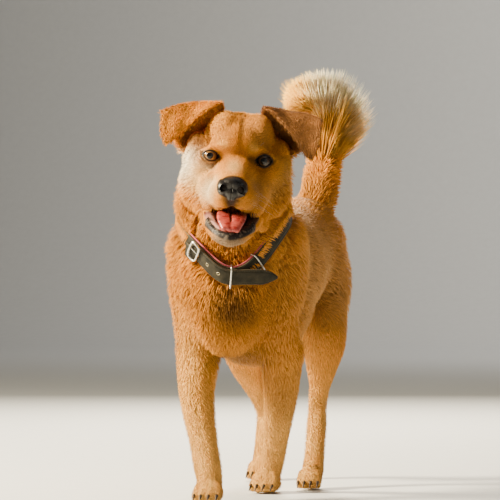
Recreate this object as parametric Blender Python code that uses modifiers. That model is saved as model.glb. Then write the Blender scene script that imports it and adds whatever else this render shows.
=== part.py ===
"""A medium-small golden dog walking, head turned to one side, in solids named for its parts.

Metres, +Z up. The dog faces -Y and its left side is +X. Flesh masses are balls and tapered tubes,
fused into one body and then parted with thin cuts. Every outline reaches the tips of the coat.
"""
import math

import bmesh
import bpy
from mathutils import Matrix
from mathutils import Vector
from mathutils.bvhtree import BVHTree

GAP = 0.0003
FLAT_ANGLE = math.radians(1.0)
BODY_VOXEL = 0.0036
HEAD_VOXEL = 0.0022
BODY_TRIANGLES = 1815
HEAD_TRIANGLES = 1440
HEAD_ROUNDS = 18

HEAD_TURN = math.radians(16)
HEAD_ROLL = math.radians(6)
EYE_LINE = Vector((0.040, -0.047, 0.491))
EYE_SPACING = 0.077
EYE_RADIUS = 0.0108
EYE_DEPTH = 0.0085

STRAP_WIDTH = 0.023
STRAP_THICKNESS = 0.0032
LINING_THICKNESS = 0.0014

COLOURS = {
    "coat": ((0.72, 0.38, 0.14), 0.75, 0.0),
    "cream": ((0.85, 0.66, 0.42), 0.75, 0.0),
    "nose": ((0.03, 0.03, 0.035), 0.35, 0.0),
    "eye": ((0.25, 0.12, 0.04), 0.08, 0.0),
    "tongue": ((0.78, 0.33, 0.33), 0.35, 0.0),
    "claw": ((0.10, 0.08, 0.07), 0.4, 0.0),
    "strap": ((0.16, 0.17, 0.13), 0.6, 0.0),
    "lining": ((0.55, 0.10, 0.16), 0.7, 0.0),
    "metal": ((0.70, 0.68, 0.62), 0.3, 1.0),
}

# The first of these words found in a node's name picks its colour.
NODE_COLOURS = {
    "claw": "claw",
    "nose": "nose",
    "eye": "eye",
    "tongue": "tongue",
    "lining": "lining",
    "strap": "strap",
    "free_end": "strap",
    "buckle": "metal",
    "keeper": "metal",
    "ring": "metal",
    "plume": "cream",
}

# Paws: centre of the sole, half of its length and half of its width. Sides: 1 is left, -1 is right.
PAWS = {
    "forepaw_right": {"at": (-0.012, -0.012), "half": (0.034, 0.0225), "turn": 4},
    "forepaw_left": {"at": (0.014, 0.200), "half": (0.034, 0.0225), "turn": -4},
    "hindpaw_left": {"at": (0.059, 0.283), "half": (0.031, 0.0200), "turn": 6},
    "hindpaw_right": {"at": (-0.067, 0.455), "half": (0.031, 0.0200), "turn": -4},
}

# Balls of the trunk: centre, radii, and turn about X in degrees.
TRUNK_BALLS = {
    "ribcage": ((0.0, 0.178, 0.312), (0.090, 0.150, 0.124), 0),
    "breast": ((-0.004, 0.056, 0.312), (0.078, 0.076, 0.108), 0),
    "withers": ((0.0, 0.150, 0.372), (0.056, 0.090, 0.068), 6),
    "rump": ((0.0, 0.424, 0.367), (0.079, 0.090, 0.080), 0),
    "shoulder_right": ((-0.066, 0.085, 0.333), (0.036, 0.058, 0.092), -18),
    "shoulder_left": ((0.066, 0.108, 0.333), (0.036, 0.058, 0.092), -18),
    "thigh_left": ((0.050, 0.400, 0.312), (0.042, 0.078, 0.086), 12),
    "thigh_right": ((-0.051, 0.420, 0.312), (0.042, 0.078, 0.086), 12),
}

# Tapered tubes: x, y, z and radius at each stop.
BODY_TUBES = {
    "throat": ((0.020, 0.044, 0.478, 0.078), (0.003, 0.056, 0.425, 0.087), (-0.006, 0.076, 0.370, 0.093)),
    "nape": ((0.016, 0.078, 0.498, 0.046), (0.004, 0.118, 0.448, 0.050), (0.0, 0.165, 0.400, 0.050)),
    "loin": ((0.0, 0.240, 0.336, 0.095), (0.0, 0.325, 0.349, 0.084), (0.0, 0.410, 0.361, 0.082)),
    "upper_arm_right": ((-0.054, 0.056, 0.290, 0.038), (-0.055, 0.076, 0.212, 0.033)),
    "forearm_right": (
        (-0.056, 0.078, 0.212, 0.034), (-0.048, 0.045, 0.150, 0.0272), (-0.028, 0.013, 0.085, 0.0222),
        (-0.018, 0.000, 0.048, 0.0220), (-0.012, -0.004, 0.020, 0.0185),
    ),
    "upper_arm_left": ((0.054, 0.084, 0.288, 0.038), (0.054, 0.132, 0.212, 0.033)),
    "forearm_left": (
        (0.056, 0.134, 0.212, 0.034), (0.046, 0.160, 0.142, 0.0260), (0.029, 0.196, 0.080, 0.0205),
        (0.020, 0.208, 0.046, 0.0198), (0.015, 0.204, 0.020, 0.0180),
    ),
    "shank_left": (
        (0.044, 0.385, 0.285, 0.046), (0.064, 0.342, 0.228, 0.037), (0.063, 0.340, 0.190, 0.0268),
        (0.057, 0.347, 0.155, 0.0182), (0.0515, 0.354, 0.125, 0.0156), (0.051, 0.353, 0.100, 0.0170),
        (0.054, 0.331, 0.062, 0.0170), (0.058, 0.304, 0.028, 0.0180),
    ),
    "shank_right": (
        (-0.046, 0.408, 0.285, 0.046), (-0.072, 0.386, 0.222, 0.037), (-0.078, 0.402, 0.186, 0.0268),
        (-0.073, 0.432, 0.152, 0.0182), (-0.067, 0.460, 0.122, 0.0156), (-0.065, 0.478, 0.100, 0.0170),
        (-0.066, 0.470, 0.062, 0.0170), (-0.067, 0.466, 0.028, 0.0180),
    ),
    "tendon_left": (
        (0.052, 0.384, 0.235, 0.020), (0.055, 0.374, 0.188, 0.0140), (0.054, 0.369, 0.155, 0.0125),
        (0.0515, 0.366, 0.110, 0.0115),
    ),
    "tendon_right": (
        (-0.062, 0.416, 0.235, 0.020), (-0.067, 0.434, 0.188, 0.0140), (-0.070, 0.456, 0.152, 0.0125),
        (-0.065, 0.490, 0.110, 0.0115),
    ),
}

# The tail's core rises from the rump and curls forward to the right; its hair stands off the outer side.
TAIL_CORE = (
    (0.004, 0.478, 0.405, 0.040), (0.012, 0.508, 0.448, 0.032), (0.020, 0.520, 0.500, 0.0285),
    (0.026, 0.520, 0.550, 0.0290), (0.016, 0.500, 0.588, 0.0320), (-0.006, 0.468, 0.600, 0.0260),
)
TAIL_PLUME = (
    (0.036, 0.532, 0.536, 0.030), (0.051, 0.536, 0.570, 0.035), (0.045, 0.524, 0.601, 0.038),
    (0.020, 0.500, 0.611, 0.036), (-0.004, 0.474, 0.606, 0.029),
)

# Balls of the head, in millimetres in the head's own axes: x to its left, y back, z up from the eye line.
HEAD_BALLS = {
    "cranium": ((0, 56, 21), (55, 62, 48)),
    "forehead": ((0, 24, 18), (42, 34, 36)),
    "brow": ((23, 12, 14), (19, 16, 15)),
    "cheekbone": ((44, 30, -14), (30, 32, 28)),
    "jowl": ((46, 46, -40), (37, 36, 42)),
    "bridge": ((0, 2, -18), (24, 26, 16)),
    "flew": ((17, -20, -52), (20, 34, 20)),
    "whisker_bed": ((13, -43, -52), (17, 20, 18)),
    "lip_corner": ((31, 6, -58), (17, 26, 22)),
    "gullet": ((0, 52, -66), (50, 40, 50)),
    "ear_root": ((57, 56, 8), (20, 28, 28)),
    "cheek": ((33, 32, -70), (20, 22, 32)),
    "temple": ((54, 46, -6), (25, 30, 27)),
    "face_side": ((46, 40, -27), (34, 33, 34)),
    "muzzle_root": ((26, 12, -43), (28, 33, 28)),
    "eye_surround": ((39, 13, 0), (17, 16, 14)),
    "crown": ((23, 44, 36), (26, 42, 33)),
}
HEAD_TUBES = {
    "muzzle": ((0, 14, -26, 36), (0, -18, -37, 29), (0, -46, -44, 24)),
}
JAW_TUBES = {
    "lip": ((30, 30, -80, 14), (30, 6, -88, 12), (24, -16, -101, 11.5), (12, -34, -111, 12), (0, -40, -114, 12.5)),
    "floor": ((0, 36, -96, 22), (0, -6, -109, 17), (0, -36, -114, 13)),
}
MOUTH_OUTLINE = ((-75, -67), (-75, -150), (-20, -140), (6, -104), (11, -80), (0, -74), (-40, -70))
MOUTH_HALF_WIDTH = 42
THROAT_HOLE = ((0, 8, -84), (25, 26, 11))
NECK_CUT = ((-150, 150), (-150, -131), (-30, -131), (128, 20), (128, 150))
THROAT_CUT = ((-60, -50), (-60, -131), (20, -131), (57, -116), (74, -50))
THROAT_HALF_WIDTH = 46
TONGUE_BALLS = (((0, 10, -89), (19, 24, 9)), ((1, -14, -93), (21, 24, 9)), ((2, -35, -98), (18, 12, 8)))
SOCKET_MOUTH = ((0, -11.5, 0), (10.5, 9.0, 7.8))
NOSE_PAD = ((-2.5, -58, -42), (21.5, 13.5, 13.5))
NOSTRIL = ((9.5, -69, -44), (4.6, 7.0, 4.8))

# Ear lines from base to tip, in the head's millimetres, each from the inner edge to the outer one.
EAR_LINES = (
    ((27, 60, 56), (44, 84, 40), (64, 78, 20), (68, 50, 6)),
    ((27, 52, 68), (50, 74, 58), (80, 68, 36), (82, 47, 16)),
    ((30, 42, 76), (58, 56, 74), (90, 52, 62), (106, 38, 42)),
    ((37, 34, 74), (62, 42, 71), (92, 39, 66), (113, 29, 56)),
    ((50, 27, 64), (72, 31, 58), (95, 29, 52), (113, 23, 42)),
    ((72, 21, 42), (84, 22, 38), (98, 20, 34), (112, 17, 26)),
    ((96, 14, 14), (99, 14, 13), (102, 13, 12), (106, 12, 12)),
)
EAR_THICKNESS = 0.0050
EAR_BULGE = 3.5
LEFT_EAR_LIFT = 11.0

# Cut blocks that part the trunk, tail and legs: point on the cut, direction across it, half size.
CUTS = (
    ((-0.053, 0.058, 0.176), (0.0, -0.40, -0.90), 0.046),
    ((0.053, 0.148, 0.176), (0.0, 0.35, -0.92), 0.046),
    ((-0.028, 0.013, 0.084), (-0.3, -0.5, -1.0), 0.040),
    ((0.0290, 0.196, 0.080), (-0.3, 0.4, -1.0), 0.036),
    ((0.0650, 0.348, 0.214), (0.0, -0.25, -1.0), 0.072),
    ((-0.0770, 0.398, 0.208), (0.0, 0.30, -1.0), 0.072),
    ((0.0520, 0.358, 0.106), (0.0, -0.30, -1.0), 0.036),
    ((-0.0655, 0.480, 0.106), (0.0, 0.05, -1.0), 0.036),
    ((0.0, 0.290, 0.340), (0.0, 1.0, 0.10), 0.150),
    ((0.008, 0.497, 0.440), (0.15, 0.45, 0.85), 0.046),
    ((0.028, 0.522, 0.520), (0.10, 0.02, 1.0), 0.060),
    ((0.0, 0.085, 0.362), (0.0, -0.50, 0.866), 0.160),
)
LIMB_LEAN = 11
LIMB_BLOCKS = {
    "foreleg_right_upper": {"side": -1, "centre": (0.082, 0.282), "half": (0.064, 0.132), "inner": 0.040},
    "foreleg_left_upper": {"side": 1, "centre": (0.112, 0.282), "half": (0.064, 0.132), "inner": 0.040},
    "hindleg_left_upper": {"side": 1, "centre": (0.386, 0.282), "half": (0.092, 0.125), "inner": 0.040},
    "hindleg_right_upper": {"side": -1, "centre": (0.410, 0.282), "half": (0.092, 0.125), "inner": 0.040},
}
# The collar's line round the neck; it hangs lowest at the left front.
COLLAR_STOPS = (
    (0.036, -0.034, 0.322), (0.006, -0.034, 0.329), (-0.024, -0.023, 0.357), (-0.055, 0.005, 0.385),
    (-0.082, 0.050, 0.407), (-0.060, 0.110, 0.432), (0.002, 0.140, 0.446), (0.064, 0.105, 0.428),
    (0.084, 0.050, 0.402), (0.081, 0.016, 0.376), (0.072, -0.006, 0.343),
)
COLLAR_AXIS = (0.0, 0.060)
COLLAR_SINK = -0.001
COLLAR_BURIED = 0.012
COLLAR_BURIED_AT = (-0.93, -0.36)
COLLAR_LOOSE = 0.004
COLLAR_SAMPLES = 34
BUCKLE_SAMPLE = 7
KEEPER_SAMPLE = 1
RING_SAMPLE = 31
FREE_END_LENGTH = 0.058
FREE_END_DROOP = 0.10
WIRE = 0.0013
NODE_CENTRES = {
    "neck": (0.0, 0.07, 0.42),
    "chest": (0.0, 0.16, 0.32),
    "belly": (0.0, 0.38, 0.36),
    "tail_base": (0.015, 0.515, 0.48),
    "tail_plume": (0.028, 0.51, 0.59),
    "foreleg_right_lower": (-0.045, 0.035, 0.135),
    "foreleg_left_lower": (0.042, 0.165, 0.135),
    "forepaw_right": (-0.016, -0.004, 0.035),
    "forepaw_left": (0.018, 0.203, 0.035),
    "hindleg_left_lower": (0.058, 0.350, 0.158),
    "hindleg_right_lower": (-0.073, 0.430, 0.158),
    "hindpaw_left": (0.056, 0.310, 0.045),
    "hindpaw_right": (-0.066, 0.465, 0.045),
}


def head_matrix():
    """Axes of the head: its left, its back and its crown, from the middle of the eye line."""
    turn = Matrix.Rotation(HEAD_TURN, 4, "Z")
    roll = Matrix.Rotation(HEAD_ROLL, 4, "Y")
    return Matrix.Translation(EYE_LINE) @ turn @ roll @ Matrix.Scale(0.001, 4)


HEAD = head_matrix()


def clear_scene():
    for old in list(bpy.data.objects):
        bpy.data.objects.remove(old, do_unlink=True)


def new_collection(name):
    made = bpy.data.collections.new(name)
    bpy.context.scene.collection.children.link(made)
    return made


def material(name, colour, roughness, metallic):
    made = bpy.data.materials.new(name)
    made.use_nodes = True
    shader = made.node_tree.nodes["Principled BSDF"]
    shader.inputs["Base Color"].default_value = (*colour, 1.0)
    shader.inputs["Roughness"].default_value = roughness
    shader.inputs["Metallic"].default_value = metallic
    return made


def add_to(shape, lump):
    """Adds a small bmesh to a bigger one, which is much quicker than making it there."""
    mesh = bpy.data.meshes.new("lump")
    lump.to_mesh(mesh)
    lump.free()
    shape.from_mesh(mesh)
    bpy.data.meshes.remove(mesh)


def ball(shape, centre, radii, turn=0.0, place=Matrix(), segments=24):
    """A ball stretched to its three radii and turned about X, added to a bmesh."""
    pose = place @ Matrix.Translation(Vector(centre)) @ Matrix.Rotation(math.radians(turn), 4, "X")
    pose = pose @ Matrix.Diagonal((*radii, 1.0))
    lump = bmesh.new()
    bmesh.ops.create_uvsphere(lump, u_segments=segments, v_segments=segments // 2, radius=1.0, matrix=pose)
    add_to(shape, lump)


def between(stops, share):
    """The value on a smooth curve through the stops, at a share of the way along."""
    last = len(stops) - 1
    spot = min(max(share, 0.0), 1.0) * last
    index = min(int(spot), last - 1)
    part = spot - index
    a = Vector(stops[max(index - 1, 0)])
    b = Vector(stops[index])
    c = Vector(stops[index + 1])
    d = Vector(stops[min(index + 2, last)])
    slope_b = (c - a) * 0.5
    slope_c = (d - b) * 0.5
    square = part * part
    cube = square * part
    return (
        b * (2 * cube - 3 * square + 1) + slope_b * (cube - 2 * square + part)
        + c * (3 * square - 2 * cube) + slope_c * (cube - square)
    )


def tube(shape, stops, place=Matrix()):
    """A tapered tube with round ends, added to a bmesh as overlapping balls joined by cones."""
    stops = [Vector(stop) for stop in stops]
    count = 5 * (len(stops) - 1)
    line = [between(stops, step / count) for step in range(count + 1)]
    for here in line:
        ball(shape, here[:3], (here[3],) * 3, place=place, segments=16)
    for here, there in zip(line, line[1:]):
        start = Vector(here[:3])
        along = Vector(there[:3]) - start
        pose = Matrix.Translation(start + along / 2) @ along.to_track_quat("Z", "Y").to_matrix().to_4x4()
        lump = bmesh.new()
        bmesh.ops.create_cone(
            lump, cap_ends=True, segments=20, radius1=here[3], radius2=there[3],
            depth=along.length, matrix=place @ pose,
        )
        add_to(shape, lump)


def prism(outline, half_width, place=Matrix()):
    """A block whose outline in Y and Z runs through along X, as a bmesh."""
    shape = bmesh.new()
    corners = [shape.verts.new((-half_width, y, z)) for y, z in outline]
    face = shape.faces.new(corners)
    pushed = bmesh.ops.extrude_face_region(shape, geom=[face])
    moved = [item for item in pushed["geom"] if isinstance(item, bmesh.types.BMVert)]
    bmesh.ops.translate(shape, vec=(2 * half_width, 0, 0), verts=moved)
    bmesh.ops.recalc_face_normals(shape, faces=shape.faces)
    shape.transform(place)
    return shape


def mirrored(centre, side):
    return (centre[0] * side, centre[1], centre[2])


def as_object(name, shape, collection):
    mesh = bpy.data.meshes.new(name)
    shape.to_mesh(mesh)
    shape.free()
    made = bpy.data.objects.new(name, mesh)
    collection.objects.link(made)
    return made


def evaluated(source):
    """The mesh of an object with its modifiers applied."""
    bpy.context.view_layer.update()
    seen = source.evaluated_get(bpy.context.evaluated_depsgraph_get())
    return bpy.data.meshes.new_from_object(seen)


def keep_result(source):
    """Bakes the modifiers of an object into its own mesh."""
    mesh = evaluated(source)
    source.modifiers.clear()
    source.data = mesh
    return source


def fuse(name, shape, voxel, rounds, triangles, collection):
    """One closed skin round overlapping shapes, smoothed and then thinned to a triangle count."""
    made = as_object(name, shape, collection)
    grid = made.modifiers.new("Fuse", "REMESH")
    grid.mode = "VOXEL"
    grid.voxel_size = voxel
    soften = made.modifiers.new("Soften", "SMOOTH")
    soften.factor = 0.5
    soften.iterations = rounds
    keep_result(made)
    thin = made.modifiers.new("Thin", "DECIMATE")
    thin.ratio = min(1.0, triangles / (2.0 * len(made.data.polygons)))
    return keep_result(made)


def boolean(target, tool, operation):
    """Cuts or keeps with a tool. Thinned skins cross themselves by a hair here and there, which makes
    the exact solver drop whole bodies, so this uses the manifold one."""
    cut = target.modifiers.new("Cut", "BOOLEAN")
    cut.operation = operation
    cut.solver = "MANIFOLD"
    cut.object = tool
    return keep_result(target)


def copy_of(source, name, collection):
    made = bpy.data.objects.new(name, source.data.copy())
    collection.objects.link(made)
    return made


def grown(source, name, distance, collection):
    """A copy of a solid pushed outwards along its normals."""
    made = copy_of(source, name, collection)
    push = made.modifiers.new("Grow", "DISPLACE")
    push.strength = distance
    push.mid_level = 0.0
    return keep_result(made)


def islands(source):
    """The separate bodies of a mesh, each as a list of faces, biggest first."""
    shape = bmesh.new()
    shape.from_mesh(source.data)
    shape.faces.ensure_lookup_table()
    seen = set()
    groups = []
    for face in shape.faces:
        if face in seen:
            continue
        seen.add(face)
        group = [face]
        for member in group:
            for edge in member.edges:
                for other in edge.link_faces:
                    if other not in seen:
                        seen.add(other)
                        group.append(other)
        groups.append(group)
    groups.sort(key=len, reverse=True)
    return shape, groups


def keep_biggest(source):
    """Drops every crumb that a cut left beside the main body."""
    shape, groups = islands(source)
    for group in groups[1:]:
        bmesh.ops.delete(shape, geom=group, context="FACES")
    shape.to_mesh(source.data)
    shape.free()
    return source


def separate(source, centres, collection):
    """Makes one object for each body of the source, named by the centre that it lies nearest to."""
    shape, groups = islands(source)
    made = {}
    for name, centre in centres.items():
        def distance(group):
            middle = sum((face.calc_center_median() for face in group), Vector()) / len(group)
            return (middle - Vector(centre)).length
        chosen = min((group for group in groups if len(group) > 20), key=distance)
        piece = bmesh.new()
        twins = {}
        for face in chosen:
            for vert in face.verts:
                if vert not in twins:
                    twins[vert] = piece.verts.new(vert.co)
            piece.faces.new([twins[vert] for vert in face.verts])
        made[name] = as_object(name, piece, collection)
    shape.free()
    return made


def paw_masses(shape, paw):
    """Main pad, four toes and the instep of one paw, its sole sunk a little below the floor."""
    length, width = paw["half"]
    place = Matrix.Translation((*paw["at"], 0.0)) @ Matrix.Rotation(math.radians(paw["turn"]), 4, "Z")
    ball(shape, (0, length * 0.40, 0.0130), (width * 0.82, length * 0.62, 0.0150), place=place)
    ball(shape, (0, length * 0.10, 0.0240), (width * 0.78, length * 0.62, 0.0170), place=place)
    for toe in toes(paw):
        ball(shape, toe["knuckle"], toe["knuckle_radii"], place=place)
        ball(shape, toe["tip"], toe["tip_radii"], place=place)


def toes(paw):
    """Knuckle and tip of each toe: the middle pair lies further forward than the outer pair."""
    length, width = paw["half"]
    made = []
    for spot in (-1.5, -0.5, 0.5, 1.5):
        outer = abs(spot) > 1
        across = spot * width * 0.47
        forward = -length * (0.52 if outer else 0.68)
        made.append({
            "knuckle": (across, forward + length * 0.26, 0.0165),
            "knuckle_radii": (width * 0.30, length * 0.33, 0.0150),
            "tip": (across * 1.04, forward, 0.0100),
            "tip_radii": (width * 0.29, length * 0.30, 0.0120),
            "spread": spot * 5,
        })
    return made


def body_shape():
    shape = bmesh.new()
    for centre, radii, turn in TRUNK_BALLS.values():
        ball(shape, centre, radii, turn, segments=40)
    for stops in BODY_TUBES.values():
        tube(shape, stops)
    tube(shape, TAIL_CORE)
    tube(shape, TAIL_PLUME)
    for paw in PAWS.values():
        paw_masses(shape, paw)
    add_head(shape)
    return shape


def head_shape():
    shape = bmesh.new()
    add_head(shape)
    for name in ("throat", "nape"):
        tube(shape, BODY_TUBES[name])
    return shape


def add_head(shape):
    for centre, radii in HEAD_BALLS.values():
        for side in (1, -1):
            ball(shape, mirrored(centre, side), radii, place=HEAD, segments=32)
    for stops in HEAD_TUBES.values():
        tube(shape, stops, HEAD)


def floor_shape():
    shape = bmesh.new()
    bmesh.ops.create_cube(shape, size=1.0, matrix=Matrix.Translation((0, 0.2, -0.1)) @ Matrix.Diagonal((2, 2, 0.2, 1)))
    return shape


def tongue_shape():
    shape = bmesh.new()
    for centre, radii in TONGUE_BALLS:
        ball(shape, centre, radii, place=HEAD)
    return shape


def jaw_shape():
    shape = bmesh.new()
    for stops in JAW_TUBES.values():
        for side in (1, -1):
            tube(shape, [(x * side, y, z, radius) for x, y, z, radius in stops], HEAD)
    return shape


def cut_blocks(collection):
    """Thin plates across the trunk, tail and legs, joined as one cutter."""
    shape = bmesh.new()
    for point, across, half in CUTS:
        pose = Matrix.Translation(Vector(point)) @ Vector(across).to_track_quat("Z", "Y").to_matrix().to_4x4()
        pose = pose @ Matrix.Diagonal((2 * half, 2 * half, GAP, 1.0))
        bmesh.ops.create_cube(shape, size=1.0, matrix=pose)
    return as_cutter("parting_plates", shape, collection)


def as_cutter(name, shape, collection):
    made = as_object(name, shape, collection)
    made.hide_render = True
    made.display_type = "WIRE"
    return made


def limb_block(name, block, margin, collection):
    """An oval block lying across the body that takes the top of a leg off the trunk."""
    side = block["side"]
    shape = bmesh.new()
    reach = 0.2
    y, z = block["centre"]
    wide, tall = block["half"]
    bmesh.ops.create_cone(shape, cap_ends=True, segments=22, radius1=1.0, radius2=1.0, depth=1.0)
    size = Matrix.Diagonal((tall + margin, wide + margin, reach, 1.0))
    lying = Matrix.Rotation(math.radians(90), 4, "Y")
    lean = Matrix.Rotation(math.radians(LIMB_LEAN * side), 4, "Y")
    centre = Matrix.Translation((side * (block["inner"] - margin), y, z))
    outward = Matrix.Translation((side * reach / 2, 0, 0))
    shape.transform(centre @ lean @ outward @ lying @ size)
    return as_cutter(name, shape, collection)


def gentle(low, high, value):
    """Rises smoothly from 0 at low to 1 at high."""
    share = min(1.0, max(0.0, (value - low) / (high - low)))
    return share * share * (3.0 - 2.0 * share)


def ear_spot(line, across, down, side):
    """A point of the ear's sheet: the flap bulges forward, and the left ear's outer corner stands higher."""
    x, y, z = between(line, across)
    y -= EAR_BULGE * math.sin(math.pi * across) * math.sin(math.pi * down)
    if side > 0:
        z += LEFT_EAR_LIFT * gentle(0.25, 1.0, across) * (1.0 - gentle(0.60, 1.0, down))
    return x, y, z


def ear(side, collection):
    """A folded ear: a curved sheet from its base over the fold to its tip, given thickness."""
    rows = 30
    columns = 12
    shape = bmesh.new()
    grid = []
    for row in range(rows + 1):
        line = [
            between([stops[column] for stops in EAR_LINES], row / rows)
            for column in range(len(EAR_LINES[0]))
        ]
        spots = [ear_spot(line, column / columns, row / rows, side) for column in range(columns + 1)]
        grid.append([shape.verts.new(HEAD @ Vector(mirrored(spot, side))) for spot in spots])
    for lower, upper in zip(grid, grid[1:]):
        for column in range(columns):
            shape.faces.new((lower[column], lower[column + 1], upper[column + 1], upper[column]))
    name = "ear_left" if side > 0 else "ear_right"
    made = as_object(name, shape, collection)
    wall = made.modifiers.new("Wall", "SOLIDIFY")
    wall.thickness = EAR_THICKNESS
    wall.offset = 0.0
    keep_result(made)
    grid = made.modifiers.new("Fuse", "REMESH")
    grid.mode = "VOXEL"
    grid.voxel_size = 0.0013
    soften = made.modifiers.new("Soften", "SMOOTH")
    soften.factor = 0.5
    soften.iterations = 6
    keep_result(made)
    thin = made.modifiers.new("Thin", "DECIMATE")
    thin.ratio = 160 / (2.0 * len(made.data.polygons))
    return keep_result(made)


def nose_pad(collection):
    """The nose: a rounded block with two nostrils sunk into its front."""
    shape = bmesh.new()
    centre, radii = NOSE_PAD
    ball(shape, centre, radii, place=HEAD, segments=12)
    made = as_object("nose", shape, collection)
    holes = bmesh.new()
    spot, size = NOSTRIL
    for side in (1, -1):
        ball(holes, (centre[0] + spot[0] * side, spot[1], spot[2]), size, place=HEAD, segments=8)
    holes_object = as_cutter("nostrils", holes, bpy.data.collections["Cutters"])
    return boolean(made, holes_object, "DIFFERENCE")


def eye(name, side, head, collection, cutters):
    """An eyeball in a socket that opens between the lids."""
    radius = EYE_RADIUS * 1000
    centre = (side * EYE_SPACING * 500, EYE_DEPTH * 1000 + 2.0, 0)
    shape = bmesh.new()
    ball(shape, centre, (radius,) * 3, place=HEAD, segments=12)
    made = as_object(name, shape, collection)
    socket = bmesh.new()
    ball(socket, centre, (radius + GAP * 1000,) * 3, place=HEAD, segments=12)
    boolean(head, as_cutter(name + "_socket", socket, cutters), "DIFFERENCE")
    opening = bmesh.new()
    shift, radii = SOCKET_MOUTH
    ball(opening, [a + b for a, b in zip(centre, shift)], radii, place=HEAD, segments=12)
    boolean(head, as_cutter(name + "_opening", opening, cutters), "DIFFERENCE")
    return made


def strap_frame(line, index, closed, turn=1):
    """Along, outward and up at one point of a strap's line; turn is -1 where the line runs anticlockwise."""
    count = len(line)
    ahead = line[(index + 1) % count] if closed or index < count - 1 else line[index]
    behind = line[index - 1] if closed or index > 0 else line[index]
    along = (ahead - behind).normalized()
    lean = Vector((0.0, -0.35, 0.94))
    up = (lean - along * lean.dot(along)).normalized()
    return along, up.cross(along).normalized() * turn, up


def strap_band(name, line, inner, outer, low, high, collection, closed=True, widths=None, turn=1):
    """A band along a line: its four edges follow the line at set distances outwards and upwards."""
    shape = bmesh.new()
    rings = []
    for index, here in enumerate(line):
        out, up = strap_frame(line, index, closed, turn)[1:]
        width = widths[index] if widths else 1.0
        below = up * low * width
        above = up * high * width
        corners = (out * inner + below, out * outer + below, out * outer + above, out * inner + above)
        rings.append([shape.verts.new(here + corner) for corner in corners])
    pairs = list(zip(rings, rings[1:]))
    if closed:
        pairs.append((rings[-1], rings[0]))
    for ring, following in pairs:
        for index in range(4):
            after = (index + 1) % 4
            shape.faces.new((ring[index], ring[after], following[after], following[index]))
    if not closed:
        shape.faces.new(rings[0])
        shape.faces.new(rings[-1])
    bmesh.ops.recalc_face_normals(shape, faces=shape.faces)
    return as_object(name, shape, collection)


def wire_loop(name, centre, across, up, half_across, half_up, radius, collection):
    """A closed wire loop with rounded corners, as a mesh."""
    curve = bpy.data.curves.new(name, "CURVE")
    curve.dimensions = "3D"
    curve.bevel_depth = radius
    curve.bevel_resolution = 0
    line = curve.splines.new("POLY")
    count = 14
    line.points.add(count - 1)
    for index in range(count):
        angle = 2 * math.pi * (index + 0.5) / count
        x = math.copysign(abs(math.cos(angle)) ** 0.5, math.cos(angle)) * half_across
        y = math.copysign(abs(math.sin(angle)) ** 0.5, math.sin(angle)) * half_up
        line.points[index].co = (*(centre + across * x + up * y), 1.0)
    line.use_cyclic_u = True
    holder = bpy.data.objects.new(name + "_curve", curve)
    collection.objects.link(holder)
    mesh = evaluated(holder)
    bpy.data.objects.remove(holder)
    made = bpy.data.objects.new(name, mesh)
    collection.objects.link(made)
    return made


def closed_line(stops, count):
    """Points at equal shares of a smooth closed curve through the stops."""
    looped = [stops[-1], *stops, stops[0], stops[1]]
    whole = len(looped) - 1
    first = 1 / whole
    span = len(stops) / whole
    return [between(looped, first + span * step / count) for step in range(count)]


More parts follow.
